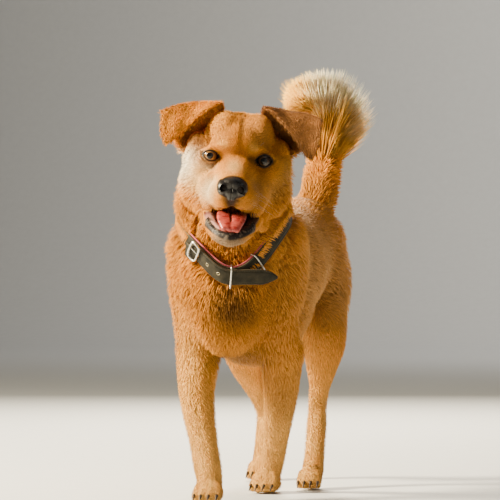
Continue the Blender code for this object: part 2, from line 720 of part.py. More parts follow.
def collar(body, collection):
    """A leather strap, its lining, and the strap's free end past the buckle."""
    shape = bmesh.new()
    shape.from_mesh(body.data)
    skin = BVHTree.FromBMesh(shape)
    shape.free()
    line = []
    for spot in closed_line(COLLAR_STOPS, COLLAR_SAMPLES):
        axis = Vector((*COLLAR_AXIS, spot.z))
        outward = (spot - axis).normalized()
        hit = skin.ray_cast(axis + outward * 0.25, -outward)[0]
        front = max(0.0, -outward.y) ** 2
        buried = max(0.0, outward.dot(Vector((*COLLAR_BURIED_AT, 0.0)))) ** 4
        depth = COLLAR_SINK * (1 - front) - COLLAR_LOOSE * front + COLLAR_BURIED * buried
        reach = (hit - axis).length - depth if hit else (spot - axis).length
        line.append(axis + outward * reach)
    for _ in range(3):
        line = [(line[i - 1] + line[i] * 2 + line[(i + 1) % len(line)]) / 4 for i in range(len(line))]
    half = STRAP_WIDTH / 2
    lip = 0.0018
    parts = {}
    parts["collar_strap"] = strap_band("collar_strap", line, 0.0, STRAP_THICKNESS, -half, half, collection)
    parts["collar_lining"] = strap_band(
        "collar_lining", line, -GAP - LINING_THICKNESS, -GAP, -half, half + lip, collection,
    )
    groove = strap_band(
        "collar_groove", line, -3 * GAP - LINING_THICKNESS, STRAP_THICKNESS + 2 * GAP,
        -half - 2 * GAP, half + lip + 2 * GAP, bpy.data.collections["Cutters"],
    )
    start = line[0]
    onward = ((line[0] - line[1]).normalized() + Vector((0, 0, -FREE_END_DROOP))).normalized()
    steps = 6
    free = line[BUCKLE_SAMPLE:0:-1]
    free += [start + onward * FREE_END_LENGTH * step / steps for step in range(steps + 1)]
    widths = [1.0] * (len(free) - 2) + [0.72, 0.12]
    parts["collar_free_end"] = strap_band(
        "collar_free_end", free, STRAP_THICKNESS + GAP, 2 * STRAP_THICKNESS + GAP, -half, half,
        collection, closed=False, widths=widths, turn=-1,
    )
    double = 2 * STRAP_THICKNESS + GAP
    along, out, up = strap_frame(line, BUCKLE_SAMPLE - 1, True)
    spot = line[BUCKLE_SAMPLE - 1] + out * (double + GAP * 2 + WIRE * 1.6)
    parts["collar_buckle"] = wire_loop(
        "collar_buckle", spot, along, up, 0.0085, half + 0.002, WIRE * 1.6, collection,
    )
    along, out, up = strap_frame(line, KEEPER_SAMPLE, True)
    spot = line[KEEPER_SAMPLE] + out * (double - LINING_THICKNESS - GAP) / 2
    parts["collar_keeper"] = wire_loop(
        "collar_keeper", spot, out, up, double / 2 + 2 * WIRE + LINING_THICKNESS, half + lip + 2.6 * WIRE, WIRE,
        collection,
    )
    along, out, up = strap_frame(line, RING_SAMPLE, True)
    spot = line[RING_SAMPLE] + out * (STRAP_THICKNESS - LINING_THICKNESS) / 2
    parts["collar_ring"] = wire_loop(
        "collar_ring", spot, out, up, STRAP_THICKNESS + 3 * WIRE, half + lip + 2.6 * WIRE, WIRE, collection,
    )
    return parts, groove


def claws(parts, collection, cutters):
    """Sixteen curved claws, one in front of each toe."""
    for paw_name, paw in PAWS.items():
        place = Matrix.Translation((*paw["at"], 0.0)) @ Matrix.Rotation(math.radians(paw["turn"]), 4, "Z")
        for number, toe in enumerate(toes(paw), 1):
            x, y, z = toe["tip"]
            reach = toe["tip_radii"][1]
            stops = ((x, y - reach * 0.70, z + 0.0012, 0.0027), (x, y - reach - 0.0035, z - 0.0020, 0.0022),
                     (x, y - reach - 0.0085, z - 0.0065, 0.0008))
            name = "claw_" + paw_name.replace("paw", "") + "_" + str(number)
            made = as_object(name, claw_shape(stops, place), collection)
            boolean(parts[paw_name], grown(made, name + "_wide", GAP, cutters), "DIFFERENCE")
            keep_biggest(parts[paw_name])


def claw_shape(stops, place):
    """A bent five-sided cone through two rings to its tip."""
    shape = bmesh.new()
    sides = 5
    rings = []
    for x, y, z, radius in stops[:-1]:
        ring = []
        for index in range(sides):
            angle = 2 * math.pi * index / sides
            spot = Vector((x + math.cos(angle) * radius * 0.8, y, z + math.sin(angle) * radius))
            ring.append(shape.verts.new(place @ spot))
        rings.append(ring)
    tip = shape.verts.new(place @ Vector(stops[-1][:3]))
    shape.faces.new(rings[0])
    for index in range(sides):
        after = (index + 1) % sides
        shape.faces.new((rings[0][index], rings[0][after], rings[1][after], rings[1][index]))
        shape.faces.new((rings[1][index], rings[1][after], tip))
    bmesh.ops.recalc_face_normals(shape, faces=shape.faces)
    return shape


def merge_flat_faces(source):
    """Joins faces that lie in one plane, such as the crumbs along a cut, and leaves triangles."""
    shape = bmesh.new()
    shape.from_mesh(source.data)
    bmesh.ops.remove_doubles(shape, verts=shape.verts, dist=0.00002)
    bmesh.ops.dissolve_limit(shape, angle_limit=FLAT_ANGLE, verts=shape.verts, edges=shape.edges)
    bmesh.ops.triangulate(shape, faces=shape.faces)
    shape.to_mesh(source.data)
    shape.free()


def finish(collection, cutters):
    """Stands the dog on the middle of its own box and gives every node a material of its own."""
    for helper in cutters.objects:
        helper.hide_render = True
        helper.display_type = "WIRE"
    corners = [source.matrix_world @ Vector(corner) for source in collection.objects for corner in source.bound_box]
    low = [min(corner[axis] for corner in corners) for axis in range(3)]
    high = [max(corner[axis] for corner in corners) for axis in range(3)]
    shift = Vector((-(low[0] + high[0]) / 2, -(low[1] + high[1]) / 2, -low[2]))
    for source in collection.objects:
        source.data.transform(Matrix.Translation(shift))
        merge_flat_faces(source)
        look = COLOURS[next((NODE_COLOURS[word] for word in NODE_COLOURS if word in source.name), "coat")]
        source.data.materials.clear()
        source.data.materials.append(material(source.name, *look))


def build():
    clear_scene()
    dog = new_collection("Dog")
    cutters = new_collection("Cutters")

    coarse = fuse("coarse_body", body_shape(), BODY_VOXEL, 7, BODY_TRIANGLES, cutters)
    fine = fuse("fine_head", head_shape(), HEAD_VOXEL, HEAD_ROUNDS, HEAD_TRIANGLES, cutters)
    parts = {}
    head_block = as_cutter("head_block", prism(NECK_CUT, 150, HEAD), cutters)
    throat_block = as_cutter("throat_block", prism(THROAT_CUT, THROAT_HALF_WIDTH, HEAD), cutters)
    boolean(head_block, throat_block, "UNION")
    head_block_wide = grown(head_block, "head_block_wide", GAP, cutters)
    head = boolean(copy_of(fine, "head", dog), head_block, "INTERSECT")
    boolean(coarse, head_block_wide, "DIFFERENCE")
    boolean(coarse, as_cutter("floor", floor_shape(), cutters), "DIFFERENCE")

    worn, groove = collar(coarse, dog)
    boolean(coarse, groove, "DIFFERENCE")
    boolean(head, groove, "DIFFERENCE")
    for name in ("collar_free_end", "collar_keeper", "collar_ring", "collar_buckle"):
        boolean(coarse, grown(worn[name], name + "_wide", 2 * GAP, cutters), "DIFFERENCE")
    keep_biggest(coarse)
    boolean(coarse, cut_blocks(cutters), "DIFFERENCE")
    parts.update(separate(coarse, NODE_CENTRES, dog))
    for name, block in LIMB_BLOCKS.items():
        trunk = parts["chest" if name.startswith("fore") else "belly"]
        exact = limb_block(name + "_block", block, 0.0, cutters)
        wide = limb_block(name + "_block_wide", block, GAP, cutters)
        parts[name] = keep_biggest(boolean(copy_of(trunk, name, dog), exact, "INTERSECT"))
        keep_biggest(boolean(trunk, wide, "DIFFERENCE"))

    mouth = as_cutter("mouth", prism(MOUTH_OUTLINE, MOUTH_HALF_WIDTH, HEAD), cutters)
    boolean(head, mouth, "DIFFERENCE")
    throat_hole = bmesh.new()
    ball(throat_hole, *THROAT_HOLE, place=HEAD, segments=16)
    boolean(head, as_cutter("throat_hole", throat_hole, cutters), "DIFFERENCE")
    tongue = fuse("tongue", tongue_shape(), 0.0016, 6, 130, dog)
    tongue_wide = grown(tongue, "tongue_wide", GAP * 2, cutters)
    jaw = fuse("jaw", jaw_shape(), 0.0020, 6, 180, dog)
    boolean(jaw, tongue_wide, "DIFFERENCE")
    boolean(head, grown(jaw, "jaw_wide", GAP * 2, cutters), "DIFFERENCE")
    boolean(head, tongue_wide, "DIFFERENCE")
    nose = nose_pad(dog)
    boolean(head, grown(nose, "nose_wide", GAP * 2, cutters), "DIFFERENCE")
    for side, name in ((1, "eye_left"), (-1, "eye_right")):
        eye(name, side, head, dog, cutters)
    for side in (1, -1):
        flap = ear(side, dog)
        boolean(flap, grown(head, "head_wide", GAP * 2, cutters), "DIFFERENCE")
        keep_biggest(flap)
    keep_biggest(head)
    claws(parts, dog, cutters)
    finish(dog, cutters)


if __name__ == "__main__":
    build()
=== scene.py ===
import math

import bpy
import numpy as np
from mathutils import Matrix, Vector
from mathutils.bvhtree import BVHTree
from mathutils.kdtree import KDTree


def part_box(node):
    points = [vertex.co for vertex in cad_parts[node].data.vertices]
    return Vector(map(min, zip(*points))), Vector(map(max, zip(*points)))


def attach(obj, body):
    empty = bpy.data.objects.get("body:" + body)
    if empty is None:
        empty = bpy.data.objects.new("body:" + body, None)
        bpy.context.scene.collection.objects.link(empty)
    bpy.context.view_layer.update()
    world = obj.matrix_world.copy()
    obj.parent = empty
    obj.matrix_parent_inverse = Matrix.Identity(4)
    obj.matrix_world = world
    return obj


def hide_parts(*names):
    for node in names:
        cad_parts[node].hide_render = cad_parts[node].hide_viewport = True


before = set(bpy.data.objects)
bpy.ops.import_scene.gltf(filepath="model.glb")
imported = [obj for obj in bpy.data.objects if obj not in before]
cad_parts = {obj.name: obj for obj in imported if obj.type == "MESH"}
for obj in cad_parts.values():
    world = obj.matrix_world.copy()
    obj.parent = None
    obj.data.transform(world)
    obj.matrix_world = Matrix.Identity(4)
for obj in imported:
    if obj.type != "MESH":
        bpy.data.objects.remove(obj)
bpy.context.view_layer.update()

place = {
    "moved": (-0.019258, -0.225739, 0.0),       # from the solids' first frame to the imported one
    "eyeLine": (0.040, -0.047, 0.491),
    "headTurn": 16,
    "headRoll": 6,
}
moved = Vector(place["moved"])
headFrame = (
    Matrix.Translation(Vector(place["eyeLine"]) + moved)
    @ Matrix.Rotation(math.radians(place["headTurn"]), 4, "Z")
    @ Matrix.Rotation(math.radians(place["headRoll"]), 4, "Y")
    @ Matrix.Scale(0.001, 4)
)
headInverse = headFrame.inverted()


def toHead(points):
    # from metres to the head's own millimetres
    turned = np.array(headInverse)
    return points @ turned[:3, :3].T + turned[:3, 3]


def fromHead(points):
    turned = np.array(headFrame)
    return points @ turned[:3, :3].T + turned[:3, 3]


def turnFromHead(directions):
    turned = np.array(headFrame)[:3, :3] * 1000
    return directions @ turned.T


def turnToHead(directions):
    return directions @ np.array(headFrame)[:3, :3] * 1000


def mirrored(spot, side):
    return (spot[0] * side, spot[1], spot[2])


def sidesOf(both):
    return (1, -1) if both else (1,)


def unit(rows):
    return rows / np.maximum(np.linalg.norm(rows, axis=-1, keepdims=True), 1e-12)


def ease(low, high, value):
    share = np.clip((value - low) / (high - low), 0.0, 1.0)
    return share * share * (3 - 2 * share)


def cellValue(cells, seed):
    # a steady value from -1 to 1 for each cell of a grid
    mixed = cells[..., 0] * 374761393 + cells[..., 1] * 668265263 + cells[..., 2] * 1274126177
    mixed = mixed + seed * 97463477
    mixed = (mixed ^ (mixed >> 13)) * 1274126177
    mixed = (mixed ^ (mixed >> 16)) & 0xFFFFFF
    return mixed / 8388607.5 - 1.0


def cloud(points, size, seed=0):
    # smooth noise from -1 to 1
    spots = points / size
    cells = np.floor(spots).astype(np.int64)
    part = spots - cells
    part = part * part * (3 - 2 * part)
    total = np.zeros(len(points))
    for corner in np.ndindex(2, 2, 2):
        step = np.array(corner)
        weight = np.prod(np.where(step, part, 1 - part), axis=1)
        total += weight * cellValue(cells + step, seed)
    return total


def curvePoint(stops, share):
    # a smooth curve through the stops, at a share of its way
    last = len(stops) - 1
    spot = min(max(share, 0.0), 1.0) * last
    index = min(int(spot), last - 1)
    part = spot - index
    a, b, c, d = (np.array(stops[min(max(index + step, 0), last)], float) for step in (-1, 0, 1, 2))
    slopeB, slopeC = (c - a) / 2, (d - b) / 2
    square, cube = part ** 2, part ** 3
    return (b * (2 * cube - 3 * square + 1) + slopeB * (cube - 2 * square + part)
            + c * (3 * square - 2 * cube) + slopeC * (cube - square))


def newMesh(name, points, faces):
    mesh = bpy.data.meshes.new(name)
    mesh.from_pydata([tuple(spot) for spot in points], [], faces)
    mesh.update()
    made = bpy.data.objects.new(name, mesh)
    bpy.context.scene.collection.objects.link(made)
    return made


def makeActive(made):
    for shown in list(bpy.context.selected_objects):
        shown.select_set(False)
    made.select_set(True)
    bpy.context.view_layer.objects.active = made


def addShape(kind, **values):
    getattr(bpy.ops.mesh, f"primitive_{kind}_add")(**values)
    return bpy.context.object


def faceOutwards(made):
    makeActive(made)
    bpy.ops.object.mode_set(mode="EDIT")
    bpy.ops.mesh.select_all(action="SELECT")
    bpy.ops.mesh.normals_make_consistent(inside=False)
    bpy.ops.object.mode_set(mode="OBJECT")
    return made


def applyAll(made):
    makeActive(made)
    for modifier in list(made.modifiers):
        bpy.ops.object.modifier_apply(modifier=modifier.name)
    return made


def addSmooth(made, rounds):
    soften = made.modifiers.new("Smooth", "SMOOTH")
    soften.iterations = rounds
    return applyAll(made)


def addRemesh(made, voxel, rounds):
    grid = made.modifiers.new("Remesh", "REMESH")
    grid.mode = "VOXEL"
    grid.voxel_size = voxel
    return addSmooth(made, rounds)


def addBoolean(made, tool, operation):
    cut = made.modifiers.new("Boolean", "BOOLEAN")
    cut.object = tool
    cut.operation = operation
    cut.solver = "MANIFOLD"
    applyAll(made)
    bpy.data.objects.remove(tool)
    return made


def pointsOf(made):
    points = np.empty(len(made.data.vertices) * 3)
    made.data.vertices.foreach_get("co", points)
    return points.reshape(-1, 3)


def setPoints(made, points):
    made.data.vertices.foreach_set("co", points.ravel())
    made.data.update()


def normalsOf(made):
    normals = np.empty(len(made.data.vertices) * 3, np.float32)
    made.data.vertex_normals.foreach_get("vector", normals)
    return normals.reshape(-1, 3).astype(float)


def addValues(made, name, values, kind="FLOAT"):
    layer = made.data.attributes.new(name, kind, "POINT")
    layer.data.foreach_set("value" if kind == "FLOAT" else "vector", values.astype(np.float32).ravel())


def smoothShade(made):
    made.data.polygons.foreach_set("use_smooth", np.ones(len(made.data.polygons), bool))
    made.data.update()
    return made


def treeOf(*objects):
    points, faces = [], []
    for made in objects:
        start = len(points)
        points += [vertex.co.copy() for vertex in made.data.vertices]
        faces += [tuple(index + start for index in face.vertices) for face in made.data.polygons]
    return BVHTree.FromPolygons(points, faces)


notFlesh = ("collar", "claw", "eye", "nose", "tongue")
fleshNodes = [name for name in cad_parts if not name.startswith(notFlesh)]
outline = treeOf(*(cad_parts[name] for name in fleshNodes))
print("frame loaded:", len(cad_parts), "nodes")

# Each ball is centre, radii, turn about X, and the coat's depth there. All in metres.
trunkBalls = {
    "ribcage": ((0.0, 0.178, 0.312), (0.090, 0.150, 0.124), 0, 0.009),
    "breast": ((-0.004, 0.056, 0.312), (0.078, 0.076, 0.108), 0, 0.012),
    "withers": ((0.0, 0.150, 0.372), (0.056, 0.090, 0.068), 6, 0.010),
    "rump": ((0.0, 0.424, 0.367), (0.079, 0.090, 0.080), 0, 0.008),
    "shoulderRight": ((-0.066, 0.085, 0.333), (0.036, 0.058, 0.092), -18, 0.007),
    "shoulderLeft": ((0.066, 0.108, 0.333), (0.036, 0.058, 0.092), -18, 0.007),
    "thighLeft": ((0.050, 0.400, 0.312), (0.042, 0.078, 0.086), 12, 0.007),
    "thighRight": ((-0.051, 0.420, 0.312), (0.042, 0.078, 0.086), 12, 0.007),
}
# Each tube is a line of x, y, z and radius, and the coat's depth along it.
bodyTubes = {
    "throat": ((
        (0.020, 0.044, 0.478, 0.078), (0.003, 0.056, 0.425, 0.087), (-0.006, 0.076, 0.370, 0.093)), 0.015),
    "nape": (((0.016, 0.078, 0.498, 0.046), (0.004, 0.118, 0.448, 0.050), (0.0, 0.165, 0.400, 0.050)), 0.012),
    "loin": (((0.0, 0.240, 0.336, 0.095), (0.0, 0.325, 0.349, 0.084), (0.0, 0.410, 0.361, 0.082)), 0.008),
    "upperArmRight": (((-0.054, 0.056, 0.290, 0.038), (-0.055, 0.076, 0.212, 0.033)), 0.005),
    "forearmRight": ((
        (-0.056, 0.078, 0.212, 0.034), (-0.048, 0.045, 0.150, 0.0272), (-0.028, 0.013, 0.085, 0.0222),
        (-0.018, 0.000, 0.048, 0.0220), (-0.012, -0.004, 0.020, 0.0185)), 0.0025),
    "upperArmLeft": (((0.054, 0.084, 0.288, 0.038), (0.054, 0.132, 0.212, 0.033)), 0.005),
    "forearmLeft": ((
        (0.056, 0.134, 0.212, 0.034), (0.046, 0.160, 0.142, 0.0260), (0.029, 0.196, 0.080, 0.0205),
        (0.020, 0.208, 0.046, 0.0198), (0.015, 0.204, 0.020, 0.0180)), 0.0025),
    "shankLeft": ((
        (0.044, 0.385, 0.285, 0.046), (0.064, 0.342, 0.228, 0.037), (0.063, 0.340, 0.190, 0.0268),
        (0.057, 0.347, 0.155, 0.0182), (0.0515, 0.354, 0.125, 0.0156), (0.051, 0.353, 0.100, 0.0170),
        (0.054, 0.331, 0.062, 0.0170), (0.058, 0.304, 0.028, 0.0180)), 0.0022),
    "shankRight": ((
        (-0.046, 0.408, 0.285, 0.046), (-0.072, 0.386, 0.222, 0.037), (-0.078, 0.402, 0.186, 0.0268),
        (-0.073, 0.432, 0.152, 0.0182), (-0.067, 0.460, 0.122, 0.0156), (-0.065, 0.478, 0.100, 0.0170),
        (-0.066, 0.470, 0.062, 0.0170), (-0.067, 0.466, 0.028, 0.0180)), 0.0022),
    "tendonLeft": ((
        (0.052, 0.384, 0.235, 0.020), (0.055, 0.374, 0.188, 0.0140),
        (0.054, 0.369, 0.155, 0.0118), (0.0515, 0.366, 0.110, 0.0112)), 0.002),
    "tendonRight": ((
        (-0.062, 0.416, 0.235, 0.020), (-0.067, 0.434, 0.188, 0.0140),
        (-0.070, 0.456, 0.152, 0.0118), (-0.065, 0.490, 0.110, 0.0112)), 0.002),
}
tailCore = (
    (0.004, 0.470, 0.400, 0.034), (0.010, 0.505, 0.446, 0.021), (0.018, 0.519, 0.500, 0.0165),
    (0.023, 0.518, 0.548, 0.0145), (0.015, 0.498, 0.583, 0.0125), (-0.004, 0.472, 0.596, 0.0085),
)
paws = {
    "foreRight": {"at": (-0.012, -0.012), "half": (0.034, 0.0225), "turn": 4},
    "foreLeft": {"at": (0.014, 0.200), "half": (0.034, 0.0225), "turn": -4},
    "hindLeft": {"at": (0.059, 0.283), "half": (0.031, 0.0200), "turn": 6},
    "hindRight": {"at": (-0.067, 0.455), "half": (0.031, 0.0200), "turn": -4},
}
# The head's balls are centre, radii and the coat's depth, in its own millimetres: x to its left,
# y back, z up from the eye line.
headBalls = {
    "cranium": ((0, 56, 21), (55, 62, 48), 5),
    "forehead": ((0, 24, 18), (42, 34, 36), 2.5),
    "brow": ((23, 12, 14), (19, 16, 15), 1.5),
    "cheekbone": ((44, 30, -14), (30, 32, 28), 3),
    "jowl": ((46, 46, -40), (37, 36, 42), 9),
    "bridge": ((0, 2, -18), (24, 26, 16), 1.2),
    "flew": ((17, -20, -53), (20, 34, 22), 1.5),
    "whiskerBed": ((13, -43, -54), (17, 20, 20), 1.2),
    "lipCorner": ((31, 6, -58), (17, 26, 22), 2),
    "gullet": ((0, 52, -66), (50, 40, 50), 8),
    "earRoot": ((57, 56, 8), (20, 28, 28), 3),
    "cheek": ((33, 32, -70), (20, 22, 32), 5),
    "temple": ((54, 46, -6), (25, 30, 27), 4),
    "faceSide": ((46, 40, -27), (34, 33, 34), 6),
    "muzzleRoot": ((26, 12, -43), (28, 33, 28), 2.5),
    "eyeSurround": ((39, 13, 0), (17, 16, 14), 1.2),
    "crown": ((23, 44, 36), (26, 42, 33), 3),
}
muzzleTube = ((0, 14, -26, 36), (0, -18, -37, 29), (0, -46, -44, 24))
jawTubes = (
    ((30, 30, -80, 14), (30, 6, -88, 12), (24, -16, -101, 11.5), (12, -34, -111, 12), (0, -40, -114, 12.5)),
    ((0, 36, -96, 22), (0, -6, -109, 17), (0, -36, -114, 13)),
)
# The mouth is an outline in y and z, cut through from side to side.
mouthOutline = ((-75, -71), (-75, -150), (-20, -140), (6, -106), (11, -82), (0, -77), (-40, -73))
mouthHalfWidth = 38
throatHole = ((0, 8, -84), (25, 26, 11))
# Each line runs along the ear's root or flap, and the lines go down from the fold to the tip.
earLines = (
    ((27, 60, 56), (44, 84, 40), (66, 78, 18), (73, 46, 0)),
    ((27, 52, 68), (50, 74, 58), (80, 68, 36), (87, 43, 9)),
    ((30, 42, 76), (58, 56, 74), (90, 52, 62), (106, 38, 42)),
    ((37, 34, 74), (62, 42, 71), (92, 39, 66), (113, 29, 56)),
    ((50, 27, 64), (72, 31, 58), (95, 29, 52), (113, 23, 42)),
    ((72, 21, 42), (84, 22, 38), (98, 20, 34), (112, 17, 26)),
    ((96, 14, 14), (99, 14, 13), (102, 13, 12), (106, 12, 12)),
)

ballMould = addShape("uv_sphere", segments=24, ring_count=16, radius=1)
mouldPoints = pointsOf(ballMould)
mouldFaces = [tuple(face.vertices) for face in ballMould.data.polygons]
bpy.data.objects.remove(ballMould)


class Heap:
    # overlapping balls gathered for one remesh
    def __init__(self):
        self.points = []
        self.faces = []
        self.count = 0

    def ball(self, centre, radii, turn=0.0, space=None):
        spots = mouldPoints * np.array(radii, float)
        if turn:
            c, s = math.cos(math.radians(turn)), math.sin(math.radians(turn))
            spots = spots @ np.array(((1, 0, 0), (0, c, -s), (0, s, c))).T
        spots = spots + np.array(centre, float)
        spots = fromHead(spots) if space == "head" else spots + np.array(moved)
        self.faces += [tuple(index + self.count for index in face) for face in mouldFaces]
        self.points.append(spots)
        self.count += len(spots)

    def tube(self, stops, thinner=0.0, space=None):
        # balls close together along a curve of x, y, z and radius
        length = sum((Vector(b[:3]) - Vector(a[:3])).length for a, b in zip(stops, stops[1:]))
        least = min(stop[3] for stop in stops)
        count = max(6, int(length / (least * 0.30)))
        for step in range(count + 1):
            here = curvePoint(stops, step / count)
            self.ball(here[:3], (here[3] - thinner,) * 3, space=space)

    def build(self, name):
        return newMesh(name, np.concatenate(self.points), self.faces)


def addHeadBalls(heap):
    for centre, radii, depth in headBalls.values():
        for side in sidesOf(centre[0]):
            heap.ball(mirrored(centre, side), [r - depth for r in radii], space="head")
    heap.tube(muzzleTube, 1.5, "head")


def addPaw(heap, paw):
    # the foot's back and knuckles, then four toes with their tips
    length, width = paw["half"]
    turn = math.radians(paw["turn"])
    across = np.array((math.cos(turn), math.sin(turn), 0))
    ahead = np.array((-math.sin(turn), math.cos(turn), 0))
    base = np.array((*paw["at"], 0.0))
    thin = 0.0012

    def put(x, y, z, radii):
        heap.ball(base + across * x + ahead * y + np.array((0, 0, z)), [r - thin for r in radii])

    put(0, length * 0.40, 0.0130, (width * 0.82, length * 0.62, 0.0150))
    put(0, length * 0.10, 0.0240, (width * 0.78, length * 0.62, 0.0170))
    for spot in (-1.5, -0.5, 0.5, 1.5):
        side = spot * width * 0.47
        forward = -length * (0.52 if abs(spot) > 1 else 0.68)
        put(side, forward + length * 0.26, 0.0165, (width * 0.27, length * 0.33, 0.0150))
        put(side * 1.04, forward, 0.0100, (width * 0.26, length * 0.30, 0.0120))


def prismMesh(name, flat, halfWidth):
    # an outline in the head's y and z, as a block from side to side
    near = [(-halfWidth, y, z) for y, z in flat]
    far = [(halfWidth, y, z) for y, z in flat]
    count = len(flat)
    faces = [tuple(range(count)), tuple(range(2 * count - 1, count - 1, -1))]
    faces += [(i + count, (i + 1) % count + count, (i + 1) % count, i) for i in range(count)]
    return faceOutwards(newMesh(name, fromHead(np.array(near + far, float)), faces))


# The head at a finer grain, with its mouth opened.
headSettings = {"voxel": 0.0017, "smooth": 40, "jawSmooth": 6, "lipDepth": 1.6, "throatGrown": 1}
headHeap = Heap()
addHeadBalls(headHeap)
headHeap.tube(*bodyTubes["throat"])
headHeap.tube(*bodyTubes["nape"])
fineHead = addRemesh(headHeap.build("fineHead"), headSettings["voxel"], headSettings["smooth"])
addBoolean(fineHead, prismMesh("mouthCut", mouthOutline, mouthHalfWidth), "DIFFERENCE")
throat = Heap()
throat.ball(throatHole[0], [r + headSettings["throatGrown"] for r in throatHole[1]], space="head")
addBoolean(fineHead, throat.build("throatCut"), "DIFFERENCE")
jawHeap = Heap()
for stops in jawTubes:
    for side in (1, -1):
        jawHeap.tube([(x * side, y, z, r) for x, y, z, r in stops], headSettings["lipDepth"], "head")
fineJaw = addRemesh(jawHeap.build("fineJaw"), headSettings["voxel"], headSettings["jawSmooth"])
addBoolean(fineHead, fineJaw, "UNION")
addRemesh(fineHead, headSettings["voxel"], headSettings["jawSmooth"])
fineTree = treeOf(fineHead)
print("fine head:", len(fineHead.data.polygons), "faces")

# One skin over the whole body.
skinSettings = {"voxel": 0.0042, "smooth": 4, "ground": 0.0006}
bodyHeap = Heap()
for centre, radii, turn, depth in trunkBalls.values():
    bodyHeap.ball(centre, [r - depth for r in radii], turn)
for stops, depth in bodyTubes.values():
    bodyHeap.tube(stops, depth)
bodyHeap.tube(tailCore)
for paw in paws.values():
    addPaw(bodyHeap, paw)
skin = bodyHeap.build("skin")
makeActive(skin)
fineHead.select_set(True)
bpy.ops.object.join()
addRemesh(skin, skinSettings["voxel"], skinSettings["smooth"])
print("skin remeshed:", len(skin.data.polygons), "faces")


def subdivideWhere(made, chooser):
    makeActive(made)
    centres = np.empty(len(made.data.polygons) * 3, np.float32)
    made.data.polygons.foreach_get("center", centres)
    chosen = chooser(toHead(centres.reshape(-1, 3).astype(float)))
    made.data.vertices.foreach_set("select", np.zeros(len(made.data.vertices), bool))
    made.data.edges.foreach_set("select", np.zeros(len(made.data.edges), bool))
    made.data.polygons.foreach_set("select", chosen)
    bpy.ops.object.mode_set(mode="EDIT")
    bpy.ops.mesh.select_mode(type="FACE")
    bpy.ops.mesh.subdivide(number_cuts=1, ngon=False)
    bpy.ops.object.mode_set(mode="OBJECT")


def snapToFine(made):
    # the head follows its finer form, fading out behind the cheeks
    points = pointsOf(made)
    local = toHead(points)
    near = np.nonzero((local[:, 1] < 56) & (local[:, 2] > -150) & (np.abs(local[:, 0]) < 100))[0]
    weight = 1 - ease(36, 56, local[near, 1])
    for index, share in zip(near, weight):
        spot = Vector(points[index])
        hit = fineTree.find_nearest(spot, 0.006)[0]
        if hit:
            points[index] = spot.lerp(hit, share)
    setPoints(made, points)


eyes = {
    # the left eye's wider dark rim is partly painted shade, that eye being on the shaded side
    "right": {"centre": (-38.5, 10.5, 0.0), "half": (10.2, 7.0), "tilt": -8, "rim": 1.50, "gaze": (-3, 2)},
    "left": {"centre": (38.5, 10.5, 0.0), "half": (10.2, 8.4), "tilt": 8, "rim": 1.70, "gaze": (-6, 2)},
}
eyeRadius = 10.8


def eyeOpening(local, name):
    # 1 on the edge of the lids, less inside; pointed at the corners, more so at the inner one
    spot = eyes[name]
    tilt = math.radians(spot["tilt"])
    x = local[:, 0] - spot["centre"][0]
    z = local[:, 2] - spot["centre"][2]
    along = x * math.cos(tilt) + z * math.sin(tilt)
    up = -x * math.sin(tilt) + z * math.cos(tilt)
    inward = -along if spot["centre"][0] > 0 else along
    wide = np.where(inward > 0, spot["half"][0] * 1.12, spot["half"][0] * 0.98)
    high = spot["half"][1] * 0.96
    across = np.abs(along) / wide
    return np.sqrt(across ** 2 + (np.abs(up) / high) ** 2 * (1 + 0.55 * across ** 2))


def eyeDistance(local, name):
    return np.linalg.norm(local - np.array(eyes[name]["centre"]), axis=1)


def closeToEyes(local, reach):
    found = np.zeros(len(local), bool)
    for name in eyes:
        away = local - np.array(eyes[name]["centre"])
        found |= (away[:, 0] ** 2 + away[:, 2] ** 2 < reach ** 2) & (local[:, 1] < 14)
    return found


def insideBox(at, halfWidth, back, low, high):
    return (np.abs(at[:, 0]) < halfWidth) & (at[:, 1] < back) & (at[:, 2] > low) & (at[:, 2] < high)


subdivideWhere(skin, lambda at: insideBox(at, 82, 34, -135, 62))
snapToFine(skin)
subdivideWhere(skin, lambda at: closeToEyes(at, 19) | insideBox(at, 46, -4, -108, -52))
snapToFine(skin)
print("face refined:", len(skin.data.polygons), "faces")

# Soft pushes that shape the face: centre, reach, move, all in the head's millimetres, and whether
# they come on both sides.
facePushes = [
    ((2, 8, 36), (6, 40, 34), (0, 4.0, -1.6), False),       # furrow down the forehead
    ((0, -6, 4), (15, 20, 14), (0, 2.0, 0), False),         # the stop between the eyes
    ((20, 4, 17), (13, 16, 8), (0, -2.0, 1.2), True),       # brow ridge
    ((27, 2, -12), (11, 14, 9), (-1.0, 2.6, 0), True),      # hollow under the inner corner
    ((0, -76, -64), (3.4, 20, 12), (0, 3.0, 1.0), False),   # philtrum
    ((24, -30, -46), (12, 30, 9), (1.4, 0, 0), True),       # upper lips
]


def pushFace(made):
    points = pointsOf(made)
    local = toHead(points)
    for centre, reach, move, both in facePushes:
        for side in sidesOf(both):
            away = np.linalg.norm((local - np.array(mirrored(centre, side))) / np.array(reach), axis=1)
            local = local + np.exp(-2.2 * away ** 2)[:, None] * np.array(mirrored(move, side), float)
    setPoints(made, fromHead(local))


